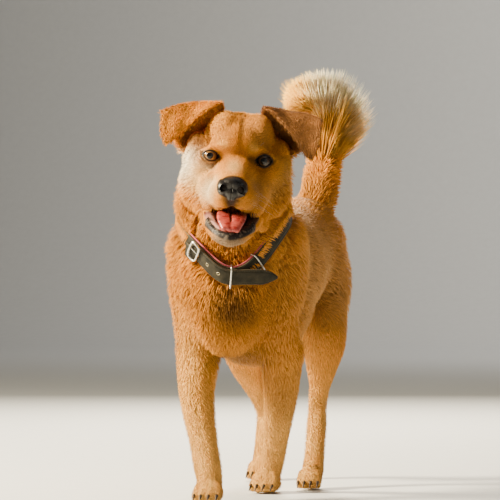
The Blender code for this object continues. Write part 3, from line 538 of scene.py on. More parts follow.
def shapeLids(made):
    # lids lie close to the eyeball, with a crease above and a pocket for the ball inside
    points = pointsOf(made)
    local = toHead(points)
    for name, spot in eyes.items():
        cx, cy, cz = spot["centre"]
        opening = eyeOpening(local, name)
        flat2 = (local[:, 0] - cx) ** 2 + (local[:, 2] - cz) ** 2
        chosen = (opening < 2.3) & (local[:, 1] < cy + 8) & (flat2 < 22 ** 2)
        lid = cy - np.sqrt(np.maximum((eyeRadius + 1.5) ** 2 - flat2, 9.0))
        pocket = cy - np.sqrt(np.maximum((eyeRadius - 1.6) ** 2 - flat2, 4.0)) + 1.5
        share = 1 - ease(1.05, 2.2, opening)
        depth = local[:, 1] * (1 - share) + lid * share
        crease = np.exp(-((opening - 1.42) / 0.10) ** 2) * (local[:, 2] > cz)
        depth = depth + crease * 0.9
        inside = 1 - ease(0.90, 1.03, opening)
        depth = depth * (1 - inside) + pocket * inside
        local[chosen, 1] = depth[chosen]
    setPoints(made, fromHead(local))


pushFace(skin)
shapeLids(skin)


earSettings = {
    "rows": 34, "columns": 14, "wall": 0.0042, "voxel": 0.0018, "smooth": 4,
    "cup": 3.5, "wave": 0.8, "leftLift": 11, "guideRows": 20, "guideColumns": 10,
}


def earSheet(side, rows, columns):
    # from the fold of the ear at row 0 to its tip
    spots = []
    for row in range(rows + 1):
        down = row / rows
        line = [curvePoint([stops[column] for stops in earLines], down) for column in range(len(earLines[0]))]
        for column in range(columns + 1):
            across = column / columns
            x, y, z = curvePoint(line, across)
            wave = earSettings["wave"] * math.sin(9 * across + 5 * down + side)
            y -= earSettings["cup"] * math.sin(math.pi * across) * math.sin(math.pi * down) + wave
            if side > 0:
                z += earSettings["leftLift"] * ease(0.25, 1.0, across) * (1 - ease(0.60, 1.0, down))
            spots.append((x * side, y, z))
    return fromHead(np.array(spots))


def guideEar(side):
    # a tree of spots over the flap, with the way to the tip, the row's and the column's share
    rows, columns = earSettings["guideRows"], earSettings["guideColumns"]
    spots = earSheet(side, rows, columns).reshape(rows + 1, columns + 1, 3)
    tree = KDTree((rows + 1) * (columns + 1))
    facts = []
    for row in range(rows + 1):
        for column in range(columns + 1):
            tree.insert(Vector(spots[row, column]), len(facts))
            after, before = min(row + 1, rows), min(row, rows - 1)
            right, left = min(column + 1, columns), max(column - 1, 0)
            outwards = unit(spots[row, right] - spots[row, left]) * (2 * column / columns - 1) ** 5
            way = unit(unit(spots[after, column] - spots[before, column]) + 0.55 * outwards)
            facts.append((way, row / rows, column / columns))
    tree.balance()
    return tree, facts


def makeEar(side):
    # the flap: a sheet given a wall and rounded by a remesh
    rows, columns = earSettings["rows"], earSettings["columns"]
    spots = earSheet(side, rows, columns)
    wide = columns + 1
    faces = [(r * wide + c, r * wide + c + 1, (r + 1) * wide + c + 1, (r + 1) * wide + c)
             for r in range(rows) for c in range(columns)]
    made = newMesh("earSheet", spots, faces)
    wall = made.modifiers.new("Wall", "SOLIDIFY")
    wall.thickness = earSettings["wall"]
    wall.offset = 0.0
    return addRemesh(made, earSettings["voxel"], earSettings["smooth"])


earTrees, earGuides = {}, {}
for side, name in ((1, "left"), (-1, "right")):
    flap = makeEar(side)
    earTrees[name] = treeOf(flap)
    addBoolean(skin, flap, "UNION")
    earGuides[name] = guideEar(side)

points = pointsOf(skin)
points[:, 2] = np.maximum(points[:, 2], skinSettings["ground"])
setPoints(skin, points)
smoothShade(skin)
skinTree = treeOf(skin)
print("skin done:", sum(len(face.vertices) - 2 for face in skin.data.polygons), "triangles")


def insideFlat(flat, y, z):
    # which spots lie inside a closed outline
    found = np.zeros(len(y), bool)
    for (ya, za), (yb, zb) in zip(flat, flat[1:] + flat[:1]):
        crosses = (za > z) != (zb > z)
        with np.errstate(divide="ignore", invalid="ignore"):
            found ^= crosses & (y < (yb - ya) * (z - za) / (zb - za) + ya)
    return found


def wetPart(local, facing):
    # 1 inside the mouth and on the lips, 0 on furred skin
    grown = np.zeros(len(local), bool)
    for dy, dz in ((0, 0), (2.2, 0), (-2.2, 0), (0, 2.2), (0, -2.2)):
        grown |= insideFlat(mouthOutline, local[:, 1] + dy, local[:, 2] + dz)
    grown &= np.abs(local[:, 0]) < mouthHalfWidth + 1.5
    side = np.sign(local[:, 0])
    up = facing[:, 2]
    inward = -facing[:, 0] * side
    jaw = local[:, 2] < -76
    inner = np.where(jaw, np.maximum(up - 0.20, inward - 0.15), np.maximum(-up - 0.35, inward - 0.25))
    return np.where(grown, ease(0.0, 0.25, inner), 0.0)


def lowerLip(local, facing):
    # the dark rim round the front of the lower jaw
    lowest = local[:, 2] + 117 - 0.013 * local[:, 0] ** 2
    band = (local[:, 1] < -10) & (local[:, 2] < -84) & (np.abs(local[:, 0]) < 36) & (facing[:, 2] < 0.75)
    outer = ease(-0.35, 0.15, -facing[:, 1] + np.abs(facing[:, 0]) * 0.6)
    return band * outer * ease(-1.5, 1.5, lowest)


nosePad = {"centre": (-2.3, -58, -43.5), "half": (21.4, 14.0, 16.0)}


def noseReach(local):
    # 1 on the edge of the nose leather
    away = (local - np.array(nosePad["centre"])) / np.array(nosePad["half"])
    return np.linalg.norm(away, axis=1)


# The colours of the coat, shared by the skin and the tufts.
coatTones = {
    "gold": (0.68, 0.255, 0.014),
    "deep": (0.46, 0.185, 0.026),
    "back": (0.63, 0.310, 0.085),
    "pale": (0.84, 0.430, 0.080),
    "cream": (0.90, 0.640, 0.270),
    "white": (0.92, 0.840, 0.640),
    "ear": (0.78, 0.290, 0.014),
    "earShade": (0.27, 0.125, 0.060),
    "brown": (0.30, 0.118, 0.020),
    "umber": (0.085, 0.034, 0.008),
    "black": (0.020, 0.015, 0.014),
    "flesh": (0.50, 0.150, 0.115),
    "gum": (0.72, 0.430, 0.360),
    "lipGrey": (0.160, 0.120, 0.090),
    "beard": (0.36, 0.290, 0.180),
    "throat": (0.085, 0.016, 0.014),
    "core": (0.42, 0.145, 0.010),
    "flame": (0.95, 0.460, 0.050),
}
# Marks: centre, reach, tone and strength. Some are the coat's markings and some are painted light and shade.
# Body marks in metres, head marks in the head's millimetres, with a word on whether the mark is on both
# sides.
bodyMarksAndPaintedLight = [
    ((0.060, 0.230, 0.340), (0.070, 0.210, 0.120), "back", 0.95),
    ((-0.060, 0.260, 0.340), (0.070, 0.170, 0.120), "back", 0.70),
    # painted shadow on the chest below the head, partly a darker coat; then painted shade under the brisket
    ((0.018, 0.000, 0.284), (0.038, 0.050, 0.042), "umber", 0.84),
    ((-0.008, 0.112, 0.212), (0.060, 0.080, 0.030), "umber", 0.80),
    # painted shade on the left foreleg and the left shoulder, the side away from the key lamp
    ((0.052, 0.135, 0.155), (0.030, 0.060, 0.050), "brown", 0.55),
    ((0.064, 0.066, 0.262), (0.030, 0.050, 0.080), "brown", 0.45),
    # flank patch: partly a deeper coat, partly painted shade where the hair turns
    ((0.070, 0.320, 0.292), (0.035, 0.050, 0.050), "deep", 0.80),
    ((0.085, 0.400, 0.300), (0.050, 0.120, 0.080), "back", 0.70),
    # painted light: the front of the right foreleg, on the lit side, is made paler
    ((-0.060, 0.030, 0.190), (0.030, 0.060, 0.090), "pale", 0.85),
    ((0.040, 0.030, 0.460), (0.050, 0.060, 0.060), "gold", 0.40),
    ((0.052, 0.500, 0.280), (0.034, 0.045, 0.080), "cream", 0.70),
    ((-0.052, 0.505, 0.280), (0.034, 0.045, 0.080), "cream", 0.70),
    ((0.0, 0.300, 0.225), (0.060, 0.150, 0.045), "pale", 0.75),
    ((0.0, 0.300, 0.445), (0.050, 0.200, 0.035), "deep", 0.40),
    ((0.005, 0.110, 0.470), (0.045, 0.090, 0.050), "deep", 0.35),
]
headMarksAndPaintedLight = [
    # painted light on the dog's right, the lit side: this cheek is whiter than the left one, and the cream
    # and white marks below are stronger on the right than on the left, though both sides are pale in the coat
    # itself
    ((-68, 30, -14), (24, 38, 30), "white", 0.85, False),
    ((68, 30, -14), (22, 34, 25), "pale", 0.80, False),
    ((-46, 16, -40), (22, 26, 20), "cream", 0.60, False),
    ((46, 16, -40), (22, 26, 20), "cream", 0.25, False),
    ((66, 50, -66), (26, 34, 26), "gold", 0.90, True),
    ((-27, -18, -46), (17, 34, 18), "cream", 0.80, False),
    ((27, -18, -46), (17, 34, 18), "cream", 0.30, False),
    ((-30, -14, -50), (18, 34, 18), "white", 0.45, False),
    ((-3, -26, -16), (12, 34, 14), "cream", 0.45, False),
    ((0, -34, -122), (34, 34, 12), "beard", 0.90, False),
    ((0, -46, -117), (30, 26, 8), "lipGrey", 0.85, False),
    ((21, -2, 17), (8, 16, 7), "pale", 0.90, True),
    # dark stripe down the forehead: partly a darker coat, partly painted shade in the furrow
    ((2, 12, 42), (3.6, 44, 32), "brown", 0.75, False),
    # painted light: paler forehead on the dog's right, the lit side
    ((-26, 20, 42), (16, 34, 26), "pale", 0.45, False),
    ((-16, 6, 26), (13, 30, 15), "brown", 0.38, False),
    ((0, 0, 8), (12, 20, 12), "brown", 0.25, False),
    # painted shade at the inner corner of the left eye, on the shaded side
    ((20, -2, -1), (6, 14, 6), "black", 0.60, False),
    ((-24, 2, -5), (5, 14, 6), "brown", 0.30, False),
    # painted light under the right eye, on the lit side
    ((-41, 10, -20), (17, 16, 10), "cream", 0.55, False),
    ((-41, 10, -20), (16, 16, 9), "pale", 0.60, False),
    ((-38, 6, -16), (14, 16, 7), "white", 0.45, False),
    # painted shade on the left of the muzzle, the left cheek and the left forehead, away from the key lamp
    ((33, -26, -54), (20, 32, 36), "brown", 0.75, False),
    ((67, 28, -30), (22, 36, 34), "brown", 0.70, False),
    ((24, 10, 38), (22, 34, 22), "back", 0.55, False),
    # painted light at the base of the right ear, where the flap's shadow falls
    ((-79, 56, 15), (15, 26, 13), "flame", 0.85, False),
    # painted shadow of the right ear on the side of the forehead
    ((-60, 34, 17), (10, 20, 16), "brown", 0.75, False),
    ((38, 24, 24), (18, 30, 12), "deep", 0.35, True),
    ((-1, -58, -64), (15, 30, 7), "brown", 0.45, False),
    ((-1.5, -58, -66), (7.5, 30, 10), "black", 0.97, False),
    # partly painted shadow under the nose, partly dark lip fur
    ((-2, -60, -60), (15, 22, 5.5), "black", 0.85, False),
]


def blend(first, second, share):
    return first * (1 - share[:, None]) + second * share[:, None]


def mixIn(colour, tone, share):
    return blend(colour, np.array(coatTones[tone]), share)


def plain(tone, count):
    return np.tile(np.array(coatTones[tone]), (count, 1))


def nearMark(spots, centre, reach):
    away = (spots - np.array(centre, float)) / np.array(reach, float)
    return np.exp(-1.1 * (away ** 2).sum(1) ** 1.3)


def coatColour(points, earShare=None):
    # the markings and the painted light and shade as one function of place, the same for skin and tufts
    spots = points - np.array(moved)
    local = toHead(points)
    colour = plain("gold", len(points))
    saddle = 0.45 * ease(0.33, 0.44, spots[:, 2]) * ease(0.10, 0.18, spots[:, 1]) * (spots[:, 2] < 0.47)
    colour = mixIn(colour, "deep", saddle)
    colour = mixIn(colour, "pale", 0.75 * (1 - ease(0.09, 0.25, spots[:, 2])))
    colour = mixIn(colour, "cream", 0.18 * (1 - ease(0.05, 0.20, spots[:, 2])))
    for centre, reach, tone, strength in bodyMarksAndPaintedLight:
        colour = mixIn(colour, tone, strength * nearMark(spots, centre, reach))
    onHead = 1 - ease(100, 150, np.linalg.norm(local - np.array((0, 20, -30)), axis=1))
    for centre, reach, tone, strength, both in headMarksAndPaintedLight:
        for side in sidesOf(both):
            share = nearMark(local, mirrored(centre, side), reach)
            colour = mixIn(colour, tone, strength * share * onHead)
    if earShare is not None:
        colour = mixIn(colour, "ear", 0.85 * earShare)
        # painted shade on the left ear, the flap away from the key lamp
        colour = mixIn(colour, "earShade", 0.72 * earShare * (local[:, 0] > 0))
        colour = colour * (1 - earShare * (0.04 - 0.26 * cloud(points, 0.008, 41)))[:, None]
    for name, spot in eyes.items():
        rim = 0.75 - 0.75 * ease(1.15, spot["rim"], eyeOpening(local, name))
        colour = mixIn(colour, "black", np.where(eyeDistance(local, name) < 30, rim, 0))
    patchy = 1 + 0.10 * cloud(points, 0.030, 3) + 0.07 * cloud(points, 0.011, 5)
    return np.clip(colour * patchy[:, None], 0.004, 0.95)


def earCloseness(points):
    # 1 on the ear flaps, fading to 0 round their roots
    share = np.zeros(len(points))
    local = toHead(points)
    beside = (np.abs(local[:, 0]) > 24) & (local[:, 2] > -4)
    for index in np.nonzero(beside & (local[:, 1] > 0) & (local[:, 1] < 95))[0]:
        spot = Vector(points[index])
        tree = earTrees["left" if local[index, 0] > 0 else "right"]
        gap = tree.find_nearest(spot, 0.02)[3]
        if gap is not None:
            share[index] = max(0.0, min(1.0, 1.4 - gap / 0.006))
    return share


def addColours(made, colours):
    layer = made.data.color_attributes.new("coatColour", "FLOAT_COLOR", "POINT")
    full = np.ones((len(colours), 4), np.float32)
    full[:, :3] = colours
    layer.data.foreach_set("color", full.ravel())


def paintSkin(made):
    points = pointsOf(made)
    local = toHead(points)
    facing = unit(turnToHead(normalsOf(made)))
    # the skin is painted a fifth darker than the tufts: painted shade between the hairs
    colour = coatColour(points, earCloseness(points)) * 0.80
    wet = wetPart(local, facing)
    # painted shade: the inside of the mouth darkens towards the throat
    deepMouth = ease(-24, 6, local[:, 1])
    lips = mixIn(plain("black", len(points)), "lipGrey", 0.8 * ease(0.1, 0.7, cloud(points, 0.0028, 9)))
    inner = mixIn(plain("flesh", len(points)), "throat", deepMouth)
    sides = np.abs(local[:, 0]) > 15
    inner = mixIn(inner, "gum", 0.85 * (1 - deepMouth) * sides * (local[:, 0] < 0))
    wave = np.abs(local[:, 2] + 96 - 0.5 * local[:, 0] + 3.0 * np.sin(local[:, 1] * 0.30))
    inner = mixIn(inner, "black", 0.95 * (1 - ease(1.2, 2.6, wave)) * sides * (local[:, 0] < 0))
    inner = mixIn(inner, "black", 0.93 * ease(2, 14, local[:, 0]) * sides)
    inside = ease(0.70, 0.98, wet) * ease(-0.1, 0.35, 0.5 * cloud(points, 0.004, 12) + 0.3)
    colour = blend(colour, blend(lips, inner, inside), wet)
    rim = lowerLip(local, facing)
    colour = blend(colour, lips, rim)
    wet = np.maximum(wet, 0.6 * rim)
    dark = np.zeros(len(points))
    for name in eyes:
        lid = 1 - ease(1.12, 1.34, eyeOpening(local, name))
        dark = np.maximum(dark, np.where(eyeDistance(local, name) < 26, lid, 0))
    colour = mixIn(colour, "black", dark)
    pad = 1 - ease(0.98, 1.10, noseReach(local))
    colour = mixIn(colour, "black", pad)
    soles = 1 - ease(0.001, 0.004, points[:, 2])
    addColours(made, mixIn(colour, "black", soles))
    gloss = np.maximum(wet, np.maximum(dark, pad))
    addValues(made, "wet", gloss)
    return gloss


skinGloss = paintSkin(skin)
print("skin painted")


def setInputs(node, values):
    for key, value in values.items():
        node.inputs[key].default_value = value


def startMaterial(name, roughness, specular, inputs=None):
    made = bpy.data.materials.new(name)
    made.use_nodes = True
    tree = made.node_tree
    shader = tree.nodes["Principled BSDF"]
    setInputs(shader, {"Roughness": roughness, "Specular IOR Level": specular, **(inputs or {})})
    return made, tree, shader


def addNode(tree, kind, inputs=None, **values):
    node = tree.nodes.new("ShaderNode" + kind)
    for key, value in values.items():
        setattr(node, key, value)
    setInputs(node, inputs or {})
    return node


def objectNoise(tree, scale, detail=2.0, roughness=0.5, stretch=(1, 1, 1)):
    squeeze = addNode(tree, "Mapping", {"Scale": stretch})
    noise = addNode(tree, "TexNoise", {"Scale": scale, "Detail": detail, "Roughness": roughness})
    tree.links.new(addNode(tree, "TexCoord").outputs["Object"], squeeze.inputs["Vector"])
    tree.links.new(squeeze.outputs["Vector"], noise.inputs["Vector"])
    return noise.outputs["Fac"]


def remap(tree, source, low, high, fromLow=0.3, fromHigh=0.7):
    span = {"From Min": fromLow, "From Max": fromHigh, "To Min": low, "To Max": high}
    node = addNode(tree, "MapRange", span)
    tree.links.new(source, node.inputs["Value"])
    return node.outputs["Result"]


def tinted(tree, colour, factor):
    # multiplies a colour by a grey value
    node = addNode(tree, "VectorMath", operation="SCALE")
    tree.links.new(colour, node.inputs[0])
    tree.links.new(factor, node.inputs["Scale"])
    return node.outputs["Vector"]


def addRamp(tree, factor, stops):
    # each stop is a place from 0 to 1 and its colour
    ramp = addNode(tree, "ValToRGB")
    elements = ramp.color_ramp.elements
    while len(elements) < len(stops):
        elements.new(0.5)
    for element, (spot, colour) in zip(elements, stops):
        element.position = spot
        element.color = (*colour, 1)
    tree.links.new(factor, ramp.inputs["Fac"])
    return ramp.outputs["Color"]


def addBump(tree, shader, height, strength, distance):
    bump = addNode(tree, "Bump", {"Strength": strength, "Distance": distance})
    tree.links.new(height, bump.inputs["Height"])
    tree.links.new(bump.outputs["Normal"], shader.inputs["Normal"])


def attribute(tree, name, output="Fac"):
    return addNode(tree, "Attribute", attribute_name=name).outputs[output]


def grainMaterial(name, roughness, specular, grain, stops, roughRange=None, relief=None, inputs=None):
    # one noise drives the colour, and the roughness and the relief where they are given
    made, tree, shader = startMaterial(name, roughness, specular, inputs)
    noise = objectNoise(tree, *grain)
    tree.links.new(addRamp(tree, noise, stops), shader.inputs["Base Color"])
    if roughRange:
        tree.links.new(remap(tree, noise, *roughRange), shader.inputs["Roughness"])
    if relief:
        addBump(tree, shader, noise, *relief)
    return made


def furMaterial(name, glow, specular=0.12):
    made, tree, shader = startMaterial(name, 0.66, specular, {
        "Sheen Weight": 0.4 * specular, "Sheen Roughness": 0.45, "Sheen Tint": (1.0, 0.86, 0.66, 1),
        "Subsurface Weight": glow, "Subsurface Radius": (0.0012, 0.0007, 0.0003), "Subsurface Scale": 1.0,
    })
    colour = attribute(tree, "coatColour", "Color")
    colour = tinted(tree, colour, remap(tree, objectNoise(tree, 420, 3, 0.6), 0.78, 1.16))
    colour = tinted(tree, colour, remap(tree, objectNoise(tree, 60), 0.93, 1.06))
    tree.links.new(colour, shader.inputs["Base Color"])
    return made


def skinMaterial():
    made, tree, shader = startMaterial("furredSkin", 0.7, 0.16)
    hairs = objectNoise(tree, 900, 4, 0.65, (1, 0.35, 0.6))
    shaded = tinted(tree, attribute(tree, "coatColour", "Color"), remap(tree, hairs, 0.66, 1.22))
    tree.links.new(shaded, shader.inputs["Base Color"])
    tree.links.new(remap(tree, attribute(tree, "wet"), 0.72, 0.26, 0.0, 1.0), shader.inputs["Roughness"])
    addBump(tree, shader, hairs, 0.6, 0.0008)
    return made


def dress(piece, look):
    piece.data.materials.clear()
    piece.data.materials.append(look)


furLook = furMaterial("goldenCoat", 0.0)
plumeLook = furMaterial("plumeCoat", 0.20, 0.03)
dress(skin, skinMaterial())

# which part of the body each spot on the skin belongs to
outlineOwners = np.repeat(
    np.arange(len(fleshNodes)), [len(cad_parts[name].data.polygons) for name in fleshNodes])
skin.data.calc_loop_triangles()
corners = np.empty(len(skin.data.loop_triangles) * 3, np.int32)
skin.data.loop_triangles.foreach_get("vertices", corners)
corners = corners.reshape(-1, 3)
skinPoints = pointsOf(skin)
skinNormals = normalsOf(skin)
centres = skinPoints[corners].mean(axis=1)
first, second, third = (skinPoints[corners[:, k]] for k in range(3))
faceAreas = np.linalg.norm(np.cross(second - first, third - first), axis=1) / 2
owners = np.array([outlineOwners[outline.find_nearest(Vector(spot))[2]] for spot in centres])
print("skin parts found, area", round(float(faceAreas.sum()), 3))

# Guides: spot, way of the coat, then length, width and cover. Body guides in metres, head guides in the
# head's millimetres, lengths and widths in millimetres. x is mirrored when not zero, but not on the paws.
coatGuides = [
    ((0.000, 0.130, 0.478), (0, 0.9, -0.35), 22, 2.0, 2.6),     # nape
    ((0.000, 0.180, 0.440), (0, 1.0, -0.10), 19, 2.0, 2.4),     # withers
    ((0.000, 0.280, 0.425), (0, 1.0, 0.00), 17, 1.9, 2.3),      # back
    ((0.000, 0.380, 0.430), (0, 1.0, -0.02), 17, 1.9, 2.3),
    ((0.000, 0.450, 0.435), (0, 0.8, 0.30), 18, 1.9, 2.3),      # croup
    ((0.070, 0.075, 0.470), (0.25, 0.55, -0.75), 24, 2.1, 2.8),  # sides of the neck
    ((0.085, 0.070, 0.400), (0.30, 0.35, -1.0), 27, 2.2, 3.0),
    ((0.045, -0.010, 0.430), (0.20, 0.05, -1.0), 22, 2.1, 2.8),  # throat
    ((0.000, -0.025, 0.390), (0, -0.05, -1.0), 24, 2.2, 2.8),
    ((0.040, -0.030, 0.320), (0.10, 0.05, -1.0), 20, 2.0, 2.7),  # breast
    ((0.000, -0.035, 0.300), (0, 0.00, -1.0), 20, 2.0, 2.7),
    ((0.000, 0.010, 0.230), (0, 0.55, -0.9), 14, 1.8, 2.5),
    ((0.000, 0.110, 0.195), (0, 1.0, -0.2), 18, 2.0, 2.4),       # brisket
    ((0.000, 0.260, 0.215), (0, 1.0, 0.0), 17, 2.0, 2.2),        # belly
    ((0.000, 0.350, 0.260), (0, 0.9, -0.3), 16, 2.0, 2.2),
    ((0.100, 0.060, 0.350), (0.05, 0.45, -0.9), 18, 2.0, 2.4),   # shoulder
    ((0.098, 0.110, 0.290), (0, 0.45, -0.9), 16, 1.9, 2.3),
    ((0.096, 0.190, 0.330), (0, 0.9, -0.5), 16, 1.9, 2.2),       # ribs
    ((0.090, 0.240, 0.250), (0, 0.9, -0.45), 16, 1.9, 2.2),
    ((0.085, 0.320, 0.320), (0, 0.85, -0.6), 16, 1.9, 2.2),      # flank
    ((0.085, 0.410, 0.380), (0, 0.75, -0.7), 16, 1.9, 2.2),
    ((0.092, 0.400, 0.300), (0, 0.35, -1.0), 15, 1.9, 2.2),      # thigh
    ((0.060, 0.500, 0.340), (0.2, 0.35, -0.9), 24, 2.1, 2.8),    # back of the thigh
    ((0.055, 0.470, 0.270), (0.0, 0.40, -0.9), 20, 2.0, 2.6),
    ((0.075, 0.350, 0.220), (0, 0.15, -1.0), 11, 1.7, 2.0),
    ((0.060, 0.400, 0.150), (0, 0.20, -1.0), 8, 1.4, 1.8),       # shank
    ((0.058, 0.350, 0.100), (0, 0.05, -1.0), 6, 1.2, 1.7),
    ((0.060, 0.330, 0.060), (0, -0.05, -1.0), 5.5, 1.2, 1.7),
    ((0.060, 0.490, 0.100), (0, 0.05, -1.0), 6, 1.2, 1.7),
    ((0.060, 0.475, 0.060), (0, -0.05, -1.0), 5.5, 1.2, 1.7),
    ((0.055, 0.060, 0.240), (0, 0.15, -1.0), 10, 1.6, 2.1),      # foreleg
    ((0.055, 0.110, 0.205), (0, 0.45, -1.0), 16, 1.9, 2.2),      # elbow
    ((0.050, 0.150, 0.190), (0, 0.35, -1.0), 14, 1.8, 2.2),
    ((0.045, 0.040, 0.150), (0, 0.10, -1.0), 8, 1.4, 1.8),
    ((0.040, 0.160, 0.130), (0, 0.15, -1.0), 8, 1.4, 1.8),
    ((0.028, 0.010, 0.080), (0, 0.02, -1.0), 6, 1.2, 1.7),
    ((0.026, 0.200, 0.080), (0, 0.02, -1.0), 6, 1.2, 1.7),
    ((0.015, 0.000, 0.045), (0, -0.15, -1.0), 5, 1.1, 1.6),
    ((0.018, 0.205, 0.045), (0, -0.15, -1.0), 5, 1.1, 1.6),
    ((0.000, 0.505, 0.385), (0, 0.9, 0.4), 18, 2.0, 2.5),        # tail root
]
# Paw guides: share of the paw's length ahead, height, and way. They are set down on every paw.
pawGuides = [(0.35, 0.030, (-0.7, -0.7)), (-0.55, 0.020, (-0.9, -0.45)), (-0.2, 0.012, (-0.6, -0.8))]
for paw in paws.values():
    turn = math.radians(paw["turn"])
    for ahead, up, (back, down) in pawGuides:
        x = paw["at"][0] - math.sin(turn) * ahead * paw["half"][0]
        y = paw["at"][1] + math.cos(turn) * ahead * paw["half"][0]
        coatGuides.append(((x, y, up), (math.sin(turn) * 0.7, back, down), 4.5, 1.0, 1.6, True))
headGuides = [
    ((0, -30, -18), (0, 0.8, 0.6), 3.2, 0.8, 1.5),        # bridge
    ((0, -52, -24), (0, 0.8, 0.5), 2.6, 0.7, 1.5),
    ((0, 0, 5), (0, 0.5, 1), 3.8, 0.85, 1.5),
    ((0, 12, 42), (0, 0.5, 1), 5.0, 1.0, 1.6),            # forehead
    ((25, 14, 38), (0.25, 0.5, 0.9), 5.0, 1.0, 1.6),
    ((0, 60, 72), (0, 1, 0.1), 8.0, 1.3, 1.8),            # skull
    ((40, 62, 52), (0.3, 1, 0.0), 8.0, 1.3, 1.8),
    ((0, 112, 30), (0, 0.8, -0.6), 14, 1.7, 2.2),
    ((45, 100, 10), (0.3, 0.8, -0.6), 14, 1.7, 2.2),
    ((33, 2, 20), (0.6, 0.4, 0.7), 4.5, 0.9, 1.6),        # brow
    ((16, -2, 2), (-0.1, 0.4, 0.9), 3.6, 0.8, 1.5),
    ((40, 8, -20), (0.7, 0.7, -0.3), 4.0, 0.9, 1.5),      # under the eye
    ((62, 30, 8), (0.5, 0.8, 0.15), 6.0, 1.1, 1.7),
    ((58, 46, 10), (0.3, 0.9, 0.1), 6.0, 1.1, 1.7),
    ((72, 36, -24), (0.45, 0.8, -0.5), 12, 1.5, 2.0),     # cheek
    ((80, 60, -20), (0.4, 0.8, -0.6), 14, 1.7, 2.2),
    ((66, 40, -62), (0.35, 0.5, -0.8), 13, 1.6, 2.2),     # jowl
    ((45, 20, -72), (0.3, 0.5, -0.8), 9, 1.3, 2.0),
    ((24, -20, -44), (0.3, 0.9, -0.25), 3.6, 0.85, 1.5),  # side of the muzzle
    ((30, -2, -40), (0.35, 0.9, -0.25), 4.2, 0.9, 1.5),
    ((18, -46, -58), (0.5, 0.5, -0.7), 3.0, 0.8, 1.5),
    ((6, -66, -60), (0.5, 0.0, -0.9), 2.4, 0.7, 1.5),
    ((0, -46, -122), (0, 0.6, -0.8), 5.0, 1.0, 1.6),      # chin
    ((22, -20, -110), (0.3, 0.8, -0.6), 5.0, 1.0, 1.6),
    ((0, 0, -128), (0, 0.9, -0.4), 9.0, 1.3, 2.0),        # under the jaw
    ((35, 20, -100), (0.3, 0.8, -0.6), 9.0, 1.3, 2.0),
    ((0, 30, -125), (0, 0.5, -0.9), 16, 1.8, 2.4),
]


def gatherGuides():
    spots, ways, sizes = [], [], []
    for guide in coatGuides:
        spot, way, length, width, cover = guide[:5]
        for side in sidesOf(spot[0] and len(guide) == 5):
            spots.append(Vector(mirrored(spot, side)) + moved)
            ways.append(mirrored(way, side))
            sizes.append((length, width, cover))
    for spot, way, length, width, cover in headGuides:
        for side in sidesOf(spot[0]):
            spots.append(fromHead(np.array([mirrored(spot, side)]))[0])
            ways.append(turnFromHead(np.array([mirrored(way, side)]))[0])
            sizes.append((length, width, cover))
    return np.array(spots), unit(np.array(ways, float)), np.array(sizes, float)


guideSpots, guideWays, guideSizes = gatherGuides()
earNodes = [fleshNodes.index("ear_left"), fleshNodes.index("ear_right")]


def coatField(points, parts):
    # the coat's way and sizes at each spot, from the nearest guides or from the ear's own sheet
    ways = np.empty((len(points), 3))
    sizes = np.empty((len(points), 3))
    batch = 20000
    for start in range(0, len(points), batch):
        part = slice(start, start + batch)
        away2 = ((points[part, None, :] - guideSpots[None]) ** 2).sum(2)
        weight = 1 / (away2 + 0.00008) ** 2.5
        weight /= weight.sum(1, keepdims=True)
        ways[part] = weight @ guideWays
        sizes[part] = weight @ guideSizes
    onEar = np.isin(parts, earNodes)
    for index in np.nonzero(onEar)[0]:
        name = "left" if parts[index] == earNodes[0] else "right"
        found = earGuides[name][0].find(Vector(points[index]))[1]
        way, row, column = earGuides[name][1][found]
        ways[index] = way
        edge = max(
            ease(0.80, 1.0, row), 0.7 * ease(0.10, 0.0, row),
            ease(0.84, 1.0, column), ease(0.16, 0.0, column))
        sizes[index] = (6.0 + 1.8 * edge, 1.05 + 0.05 * edge, 1.7 + 1.1 * edge)
    return unit(ways), sizes


coatSettings = {
    "fill": 1.0,              # scales how many tufts grow
    "lengthSpread": 0.28,
    "slim": 0.80,
    "wayJitter": 0.13,        # radians, tuft by tuft
    "clumpTurn": 0.26,        # radians, locks leaning together
    "clumpSize": 0.016,
    "drift": 0.16,            # radians, a slow turn over the whole body
    "driftSize": 0.045,
    "thick": 0.42,            # height of a tuft's section beside half its width
    "rootShade": 0.78,
    "tipShade": 1.10,
    "wet": 0.25,              # no hair on skin glossier than this
    "noseGap": 1.03,
    "lidGap": 1.28,
    "soleHeight": 0.0035,
    "lowLift": 0.10,
    "highLift": 0.75,
    "collarReach": 0.024,     # no hair right under the band
    "shortest": 0.004,
}
patch = 0.003                 # side of each tuft's patch in OFBake
ringShares = {2: (0.0, 0.50), 3: (0.0, 0.34, 0.70), 4: (0.0, 0.25, 0.52, 0.78)}
ringWidths = {2: (0.80, 1.0), 3: (0.80, 1.0, 0.72), 4: (0.75, 1.0, 0.95, 0.62)}


